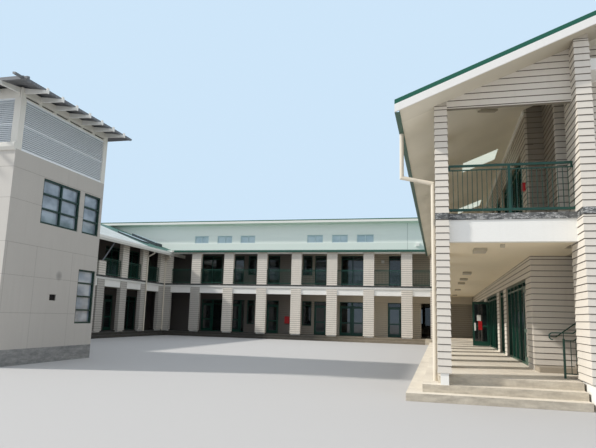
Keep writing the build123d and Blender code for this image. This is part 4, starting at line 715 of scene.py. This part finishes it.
def hull(points):
    """Convex outline of flat points, counter-clockwise."""
    points = sorted(set(points))

    def turns_left(a, b, c):
        return (b[0] - a[0]) * (c[1] - a[1]) - (b[1] - a[1]) * (c[0] - a[0]) > 1e-9

    def half(seq):
        line = []
        for p in seq:
            while len(line) > 1 and not turns_left(line[-2], line[-1], p):
                line.pop()
            line.append(p)
        return line[:-1]

    return half(points) + half(points[::-1])


def span_at(outline, z):
    """Where a level line crosses a convex outline."""
    hits = []
    for (h0, z0), (h1, z1) in zip(outline, outline[1:] + outline[:1]):
        if abs(z1 - z0) < 1e-6:
            if abs(z - z0) < 1e-6:
                hits += [h0, h1]
        elif min(z0, z1) - 1e-6 <= z <= max(z0, z1) + 1e-6:
            hits.append(h0 + (h1 - h0) * (z - z0) / (z1 - z0))
    return (min(hits), max(hits)) if len(hits) > 1 else None


# Weatherboards; the planes that carry them are (axis, place, outward sign).
BOARDED = [
    ("x", RIGHT_WALL + DX, -1),
    ("y", BACK_WALL + DY, -1),
    ("x", LEFT_WALL + DX, 1),
    ("x", RIGHT_OUTER + DX, 1),
    ("x", LEFT_OUTER + DX, -1),
    ("y", REAR + DY, 1),
    ("y", GABLE_WALL_Y + DY, -1),
    ("y", GABLE_INFILL_Y + DY, -1),
    ("y", LEFT_END_Y + DY, -1),
    ("y", RECESS_Y + DY, -1),
    ("x", DUCT_X + DX, -1),
    ("y", DUCT_Y + DY, -1),
]
FIRST_COURSE = 0.02
THINNEST = 0.004
SHORTEST = 0.02


def boarded_faces(node):
    """The node's faces in a boarded plane: (axis, place, outward sign, outline)."""
    for normal, points in flat_faces(node):
        for axis, place, sign in BOARDED:
            k = 0 if axis == "x" else 1
            if normal[k] * sign >= 0.9 and abs(points[0][k] - place) <= 0.003:
                yield axis, place, sign, hull([(p[1 - k], p[2]) for p in points])


def courses(low, high):
    """Foot and head of each board between two levels."""
    z = math.floor((low - FIRST_COURSE) / BOARD) * BOARD + FIRST_COURSE
    while z < high - THINNEST:
        yield max(z, low), min(z + BOARD, high)
        z += BOARD


def lap(boards, shadow_lines, axis, place, sign, a, b, z0, z1):
    """One lapped board, thick at its foot, and the shadow line that the next one casts on its head."""
    for stack, low, extra in ((boards, z0, 0.0), (shadow_lines, z1 - SHADOW_LINE_H, SHADOW_LINE_PROUD)):
        if low < z0:
            continue
        foot = place + sign * (BOARD_TOP + BOARD_SLOPE * (z1 - low) + extra)
        head = place + sign * (BOARD_TOP + extra)
        if axis == "x":
            near = [(place, a, low), (foot, a, low), (head, a, z1), (place, a, z1)]
            far = [(x, b, z) for x, _, z in near]
        else:
            near = [(a, place, low), (a, foot, low), (a, head, z1), (a, place, z1)]
            far = [(b, y, z) for _, y, z in near]
        stack.hexa(near, far)


def wall_boards(names):
    boards, shadow_lines = Stack(), Stack()
    for name in names:
        for axis, place, sign, outline in boarded_faces(name):
            levels = [z for _, z in outline]
            for z0, z1 in courses(min(levels), max(levels)):
                span = span_at(outline, z0 + 1e-4)
                if span and z1 - z0 > THINNEST and span[1] - span[0] > SHORTEST:
                    lap(boards, shadow_lines, axis, place, sign, *span, z0, z1)
    return boards, shadow_lines


def board_ring(stack, plan, low, high, foot, head):
    """One course round a pier, from low to high, standing proud by foot and head."""
    x0, x1, y0, y1 = plan
    rings = []
    for z, f in ((low, foot), (high, head)):
        rings.append([(x0 - f, y0 - f, z), (x1 + f, y0 - f, z), (x1 + f, y1 + f, z), (x0 - f, y1 + f, z)])
    stack.hexa(*rings)


def piers(name):
    """The piers of a node as (plan, foot, head); the head is the lowest point of the pier's top."""
    faces = flat_faces(name)
    tops = [extent(points)[0] for normal, points in faces if normal.z > 0.5]
    out = []
    for under in [points for normal, points in faces if normal.z < -0.9]:
        lows, highs = extent(under)
        foot = under[0][2]
        head = foot
        for x, y, z in tops:
            if abs(x - lows[0]) < 0.01 and abs(y - lows[1]) < 0.01:
                head = z
        out.append(((lows[0], highs[0], lows[1], highs[1]), foot, head))
    return out


def pier_boards(names):
    boards, shadow_lines = Stack(), Stack()
    shadow_line_foot = BOARD_TOP + BOARD_SLOPE * SHADOW_LINE_H + SHADOW_LINE_PROUD
    for name in names:
        for plan, z, head in piers(name):
            while z < head - 0.01:
                z1 = min(z + BOARD, head)
                board_ring(boards, plan, z, z1, BOARD_TOP + BOARD_SLOPE * (z1 - z), BOARD_TOP)
                # Each course gets a painted shadow line at its head.
                if z1 - z > 2 * SHADOW_LINE_H:
                    board_ring(shadow_lines, plan, z1 - SHADOW_LINE_H, z1, shadow_line_foot, BOARD_TOP + SHADOW_LINE_PROUD)
                z = z1
    return boards, shadow_lines


def dress(name, stacks):
    boards, shadow_lines = stacks
    boards.make(name, board_mat, "weatherboard")
    shadow_lines.make(name + "_lines", shadow_line_mat, "weatherboard")


dress("wall_boards", wall_boards(["walls_lower", "walls_upper", "wall_heads"]))
dress("gable_boards", wall_boards(["end_walls"]))
dress("outer_boards", wall_boards(["outer_wall_bands", "outer_wall_panels"]))
dress("pier_boards", pier_boards(["piers_lower", "piers_upper"]))


# Joinery that the solids leave out
WINDOW_BAR_HALF = 0.028
WINDOW_BAR_SET = 0.006
WINDOW_BAR_LAP = 0.055
TOWER_PANE_H = 0.48
OUTER_TRANSOM = 0.68
UPPER_FROM, CLERESTORY_FROM = 4, 7


def bar_levels(axis, place, a, z0, z1):
    """Heights of the level bars in a window frame."""
    if is_tower(axis, place, a):
        rows = round((z1 - z0) / TOWER_PANE_H)
        return [z0 + (z1 - z0) * k / rows for k in range(1, rows)]
    if is_outer(axis, place):
        return [z0 + OUTER_TRANSOM * (z1 - z0)]
    if z0 > CLERESTORY_FROM:
        return []
    if z0 > UPPER_FROM:
        return [FLOORS["upper"] + TRANSOM]
    in_right_wing = axis == "x" and place > DX
    return [FLOORS["right" if in_right_wing else "court"] + TRANSOM]


def window_bars():
    """Transoms and glazing bars, a little thinner than the frames."""
    stack = Stack()
    half, inset = WINDOW_BAR_HALF, WINDOW_BAR_LAP
    for node in ("frames_lower", "frames_upper", "outer_frames"):
        for axis, place, a, b, z0, z1 in upright_faces(node, 0.4, 0.5):
            near, far = place - FRAME_D + WINDOW_BAR_SET, place - WINDOW_BAR_SET
            if is_outer(axis, place) and not is_tower(axis, place, a):
                middle = (a + b) / 2
                slab(stack, axis, near, far, middle - half, middle + half, z0 + inset, z1 - inset)
            for z in bar_levels(axis, place, a, z0, z1):
                slab(stack, axis, near, far, a + inset, b - inset, z - half, z + half)
    return stack


RAIL_TOP = 5.145
BAR_Z = (4.134, 5.011)
BAR_PITCH, BAR_HALF = 0.105, 0.007


def balustrade_bars():
    """Upright bars of the court's balustrades, between the foot rail and the second rail."""
    stack = Stack()
    for normal, points in flat_faces("court_balustrades"):
        if normal.z < 0.9 or abs(points[0][2] - RAIL_TOP) > 0.01:
            continue
        lows, highs = extent(points)
        k = 0 if highs[0] - lows[0] > highs[1] - lows[1] else 1
        length = highs[k] - lows[k]
        middle = (lows[1 - k] + highs[1 - k]) / 2
        near, far = middle - BAR_HALF, middle + BAR_HALF
        count = max(2, round(length / BAR_PITCH))
        for i in range(1, count):
            bar = lows[k] + length * i / count
            slab(stack, "yx"[k], near, far, bar - BAR_HALF, bar + BAR_HALF, *BAR_Z)
    return stack


PANE_EDGE = 0.01


def window_panes(node, keep, inward, outward):
    """Thin panes over the solid sheet of the windows that keep() picks."""
    stack = Stack()
    for axis, place, a, b, z0, z1 in upright_faces(node, 0.3, 0.3):
        if keep(axis, place, a, z0):
            slab(stack, axis, place - inward, place + outward, a + PANE_EDGE, b - PANE_EDGE,
                 z0 + PANE_EDGE, z1 - PANE_EDGE)
    return stack


def tower_panes():
    return window_panes("outer_glass", lambda axis, place, a, z: is_tower(axis, place, a), 0.010, 0.003)


def high_panes():
    return window_panes("glass_upper", lambda axis, place, a, z: z > CLERESTORY_FROM, 0.015, -0.002)


STILE, FOOT_RAIL, MID_RAIL, HEAD_RAIL = 0.09, 0.215, (0.905, 0.995), 0.105
LEAF_PANE_HALF = 0.006


def leaf_panes(name):
    """Dark panes in the two lights of a leaf; gives the place of its face that looks along +X or +Y."""
    axis, place, a, b, z0, z1 = upright_faces(name, 0.6, 2.0)[0]
    near, far = place - LEAF_T / 2 - LEAF_PANE_HALF, place - LEAF_T / 2 + LEAF_PANE_HALF
    panes = Stack()
    for low, high in ((z0 + FOOT_RAIL, z0 + MID_RAIL[0]), (z0 + MID_RAIL[1], z1 - HEAD_RAIL)):
        slab(panes, axis, near, far, a + STILE, b - STILE, low, high)
    panes.make(name + "_panes", dim_pane_mat, "glass", name)
    return place


SHEET_GAP, SHEET_T = 0.0005, 0.003
WHITE_SHEETS = [((1.80, 1.99), (1.70, 1.99)), ((1.66, 1.745), (1.22, 1.60))]
RED_SHEET = [((1.86, 2.04), (1.26, 1.69))]


def leaf_sheets(leaf_face, spans):
    """Sheets on the open leaf's face that looks along -Y; each is given as (sides, foot and head)."""
    face = leaf_face - LEAF_T - SHEET_GAP
    stack = Stack()
    for (x0, x1), (z0, z1) in spans:
        stack.box(x0 + DX, x1 + DX, face - SHEET_T, face, z0, z1)
    return stack


window_bars().make("window_bars", frame_mat, "green_frame")
balustrade_bars().make("balustrade_bars", green_mat, "green_frame")
tower_panes().make("tower_panes", tower_pane_mat, "glass")
high_panes().make("high_panes", high_pane_mat, "glass")
leaf_faces = {name: leaf_panes(name) for name in sorted(nodes) if "_door" in name}
open_leaf = "right_door_open"
leaf_sheets(leaf_faces[open_leaf], WHITE_SHEETS).make("white_sheets", sheet_mat, "green_frame", open_leaf)
leaf_sheets(leaf_faces[open_leaf], RED_SHEET).make("red_sheet", red_mat, "green_frame", open_leaf)


# Fittings on the walls; boxes are given as their limits in set-out metres.
RED_BOXES = [
    ((2.25, 2.336), (15.50, 15.66), (5.22, 5.44)),
    ((-11.81, -11.42), (42.42, 42.59), (1.12, 1.66)),
]
WHITE_BOXES = [
    ((-1.67, -1.41), (42.48, 42.60), (7.16, 7.40)),
    ((-4.28, -4.05), (42.50, 42.59), (5.87, 6.10)),
]


def boxes(limits):
    stack = Stack()
    for xs, ys, zs in limits:
        stack.placed(xs, ys, zs)
    return stack


BALCONY_LAMP = [(1.10, 13.67), (1.56, 14.24), (1.48, 14.30), (1.02, 13.73)]
BALCONY_LAMP_T = 0.05


def balcony_lamp():
    """Long lamp that hangs close under the raking lining."""
    stack = Stack()
    stack.sheet([at(x, y, lining(x) - BALCONY_LAMP_T) for x, y in BALCONY_LAMP], BALCONY_LAMP_T)
    return stack


COVE_Y = (15.34, 42.3)
COVE_W, COVE_H = 0.03, 0.075
COVE_OFF_WALL, COVE_SUNK, COVE_INTO_LINING = 0.026, 0.02, 0.004


def balcony_cove():
    """White moulding where the boards of the balcony's wall meet the lining."""
    stack = Stack()
    face = RIGHT_WALL - COVE_OFF_WALL
    top = lining(face - COVE_W)
    stack.placed((face - COVE_W, face + COVE_SUNK), COVE_Y, (top - COVE_H, top + COVE_INTO_LINING))
    return stack


VENT_Y, VENT_Z = (15.425, 15.735), (1.975, 2.165)
VENT_BLADES, VENT_PITCH, VENT_BLADE_H, VENT_FIRST = 5, 0.037, 0.012, 0.01
VENT_BACK, VENT_MIDDLE, VENT_FRONT = TOWER_EAST - 0.115, TOWER_EAST - 0.05, TOWER_EAST - 0.012


def tower_vent():
    """Dark grille in the recess of the tower's east wall."""
    stack = Stack()
    stack.placed((VENT_BACK, VENT_MIDDLE), VENT_Y, VENT_Z)
    for k in range(VENT_BLADES):
        z = VENT_Z[0] + VENT_FIRST + VENT_PITCH * k
        stack.placed((VENT_MIDDLE, VENT_FRONT), VENT_Y, (z, z + VENT_BLADE_H))
    return stack


# An outrigger's tip is an upright face, smaller than TIP; its plate stands past it by the other values.
TIP_H, TIP_W = 0.12, 0.1
CAP_SIDE, CAP_DEEP = 0.012, 0.03
CAP_LAP = 0.006
CAP_DOWN, CAP_UP = 0.01, 0.075


def outrigger_caps():
    """Upright white plate at the tip of each outrigger, a little higher than the fly roof's edge."""
    stack = Stack()
    for normal, points in flat_faces("tower_outriggers"):
        (x0, y0, z0), (x1, y1, z1) = extent(points)
        if z1 - z0 > TIP_H or abs(normal.z) > 0.5:
            continue
        foot, head = z0 - CAP_DOWN, z1 + CAP_UP
        if normal.x > 0.9 and y1 - y0 < TIP_W:
            stack.box(x0 - CAP_DEEP, x0 + CAP_LAP, y0 - CAP_SIDE, y1 + CAP_SIDE, foot, head)
        elif normal.y < -0.9 and x1 - x0 < TIP_W:
            stack.box(x0 - CAP_SIDE, x1 + CAP_SIDE, y0 - CAP_LAP, y0 + CAP_DEEP, foot, head)
    return stack


SOFFIT_LIGHTS = [((0.85, 1.95), (18.4, 19.6)), ((0.95, 1.98), (26.5, 27.8))]
SOFFIT_LIGHT_DROP, SOFFIT_LIGHT_T = 0.008, 0.007


def soffit_lights():
    """Glazed panels in the right balcony's raking lining, bright with a painted glow."""
    stack = Stack()
    for (x0, x1), (y0, y1) in SOFFIT_LIGHTS:
        plan = [(x0, y0), (x1, y0), (x1, y1), (x0, y1)]
        stack.sheet([at(x, y, lining(x) - SOFFIT_LIGHT_DROP) for x, y in plan], SOFFIT_LIGHT_T)
    return stack


# A blade's section is given as (out from the slatted stage, up from the blade's foot).
CORNER_W = 0.23
BLADE_PITCH, BLADE_SET, BLADE_REACH, BLADE_EDGE = 0.062, 0.060, 0.045, 0.05
BLADE_SECTION = [(0.0, 0.050), (0.0, 0.058), (BLADE_REACH, 0.010), (BLADE_REACH, 0.0)]
BLADES = int((LOUVRE_HIGH - LOUVRE_LOW - 2 * BLADE_EDGE) / BLADE_PITCH)
LOUVRE_MIDDLE = (LOUVRE_LOW + LOUVRE_HIGH) / 2
LOUVRE_RAILS = [(LOUVRE_LOW, 0.05), (LOUVRE_MIDDLE - 0.012, 0.024), (LOUVRE_HIGH - 0.045, 0.045)]
RAIL_SET = (0.008, 0.06)


def blade_rows(z):
    """The four long edges of a blade on each side of the tower, at both of their ends."""
    x0, x1, y0, y1 = TOWER
    for face, sign in ((x1 - BLADE_SET, 1), (x0 + BLADE_SET, -1)):
        low = [(face + sign * out, y0 + CORNER_W, z + up) for out, up in BLADE_SECTION]
        yield low, [(x, y1 - CORNER_W, h) for x, _, h in low]
    for face, sign in ((y0 + BLADE_SET, -1), (y1 - BLADE_SET, 1)):
        low = [(x0 + CORNER_W, face + sign * out, z + up) for out, up in BLADE_SECTION]
        yield low, [(x1 - CORNER_W, y, h) for _, y, h in low]


def louvre_blades():
    """Sloping blades round the tower's slatted stage, with three rails on the two sides in front."""
    x0, x1, y0, y1 = TOWER
    stack = Stack()
    for k in range(BLADES):
        for low, high in blade_rows(LOUVRE_LOW + BLADE_EDGE + BLADE_PITCH * k):
            stack.hexa([at(*p) for p in low], [at(*p) for p in high])
    for z, deep in LOUVRE_RAILS:
        rise = (z, z + deep)
        stack.placed((x1 - RAIL_SET[1], x1 - RAIL_SET[0]), (y0 + CORNER_W, y1 - CORNER_W), rise)
        stack.placed((x0 + CORNER_W, x1 - CORNER_W), (y0 + RAIL_SET[0], y0 + RAIL_SET[1]), rise)
    return stack


LAMP_Y = (13.815, 20.633, 23.715, 26.335, 31.963, 38.783)
LAMP_X, LAMP_HALF, LAMP_Z = (0.84, 1.14), 0.30, (3.33, 3.40)
SMALL_LAMP = ((1.38, 1.47), (12.84, 12.96), LAMP_Z)


def soffit_lamps():
    """Long lamps along the right verandah's soffit, and a small one near the gable."""
    return boxes([(LAMP_X, (y - LAMP_HALF, y + LAMP_HALF), LAMP_Z) for y in LAMP_Y] + [SMALL_LAMP])


boxes(RED_BOXES).make("red_boxes", red_mat, "green_frame")
balcony_lamp().make("balcony_lamp", lamp_mat, "white_trim")
balcony_cove().make("balcony_cove", white_mat, "white_trim")
boxes(WHITE_BOXES).make("white_boxes", white_mat, "white_trim")
tower_vent().make("tower_vent", dark_mat, "louvre")
outrigger_caps().make("outrigger_caps", white_mat, "fly_steel")
soffit_lights().make("soffit_lights", panel_glow_material(), "roof_light")
louvre_blades().make("louvre_blades", louvre_mat, "louvre")
soffit_lamps().make("soffit_lamps", lamp_mat, "white_trim")


# Stage and light
FLOOR_REACH, FLOOR_Z = 120, -0.002
FLOOR_COLOR = (0.48, 0.47, 0.46, 1)
SUN_WAY = (1.0, 0.32, -0.77)
SUN_STRENGTH, SUN_WIDTH, SUN_COLOR = 3.3, 2.5, (1.0, 0.96, 0.90)
SKY_STRENGTH, SKY_COLOR = 0.85, (0.86, 0.92, 1.0, 1)
BACKGROUND = (0.62, 0.79, 0.95, 1)


def pale_floor():
    mesh = bpy.data.meshes.new("floor")
    r, z = FLOOR_REACH, FLOOR_Z
    mesh.from_pydata([(-r, -r, z), (r, -r, z), (r, r, z), (-r, r, z)], [], [(0, 1, 2, 3)])
    floor = bpy.data.objects.new("floor", mesh)
    bpy.context.scene.collection.objects.link(floor)
    mat = bpy.data.materials.new("pale_floor")
    mat.use_nodes = True
    bsdf = mat.node_tree.nodes["Principled BSDF"]
    bsdf.inputs["Base Color"].default_value = FLOOR_COLOR
    bsdf.inputs["Roughness"].default_value = 0.9
    mesh.materials.append(mat)


def sun():
    data = bpy.data.lights.new("key", "SUN")
    data.energy = SUN_STRENGTH
    data.angle = math.radians(SUN_WIDTH)
    data.color = SUN_COLOR
    lamp = bpy.data.objects.new("key", data)
    lamp.rotation_euler = Vector(SUN_WAY).to_track_quat("-Z", "Y").to_euler()
    bpy.context.scene.collection.objects.link(lamp)


def sky():
    """Plain soft light, and a pale background for what is seen straight, mirrored or through glass."""
    world = bpy.data.worlds.new("studio")
    bpy.context.scene.world = world
    world.use_nodes = True
    tree = world.node_tree
    back = tree.nodes["Background"]
    back.inputs["Strength"].default_value = SKY_STRENGTH
    back.inputs["Color"].default_value = SKY_COLOR
    seen = tree.nodes.new("ShaderNodeBackground")
    seen.inputs["Color"].default_value = BACKGROUND
    seen.inputs["Strength"].default_value = 1.0
    path = tree.nodes.new("ShaderNodeLightPath")
    blend = tree.nodes.new("ShaderNodeMixShader")
    shown = path.outputs["Is Camera Ray"]
    for ray in ("Is Glossy Ray", "Is Transmission Ray"):
        either = tree.nodes.new("ShaderNodeMath")
        either.operation = "MAXIMUM"
        tree.links.new(shown, either.inputs[0])
        tree.links.new(path.outputs[ray], either.inputs[1])
        shown = either.outputs[0]
    tree.links.new(shown, blend.inputs[0])
    tree.links.new(back.outputs[0], blend.inputs[1])
    tree.links.new(seen.outputs[0], blend.inputs[2])
    tree.links.new(blend.outputs[0], tree.nodes["World Output"].inputs[0])


pale_floor()
sun()
sky()

bpy.context.scene.view_settings.view_transform = "Standard"
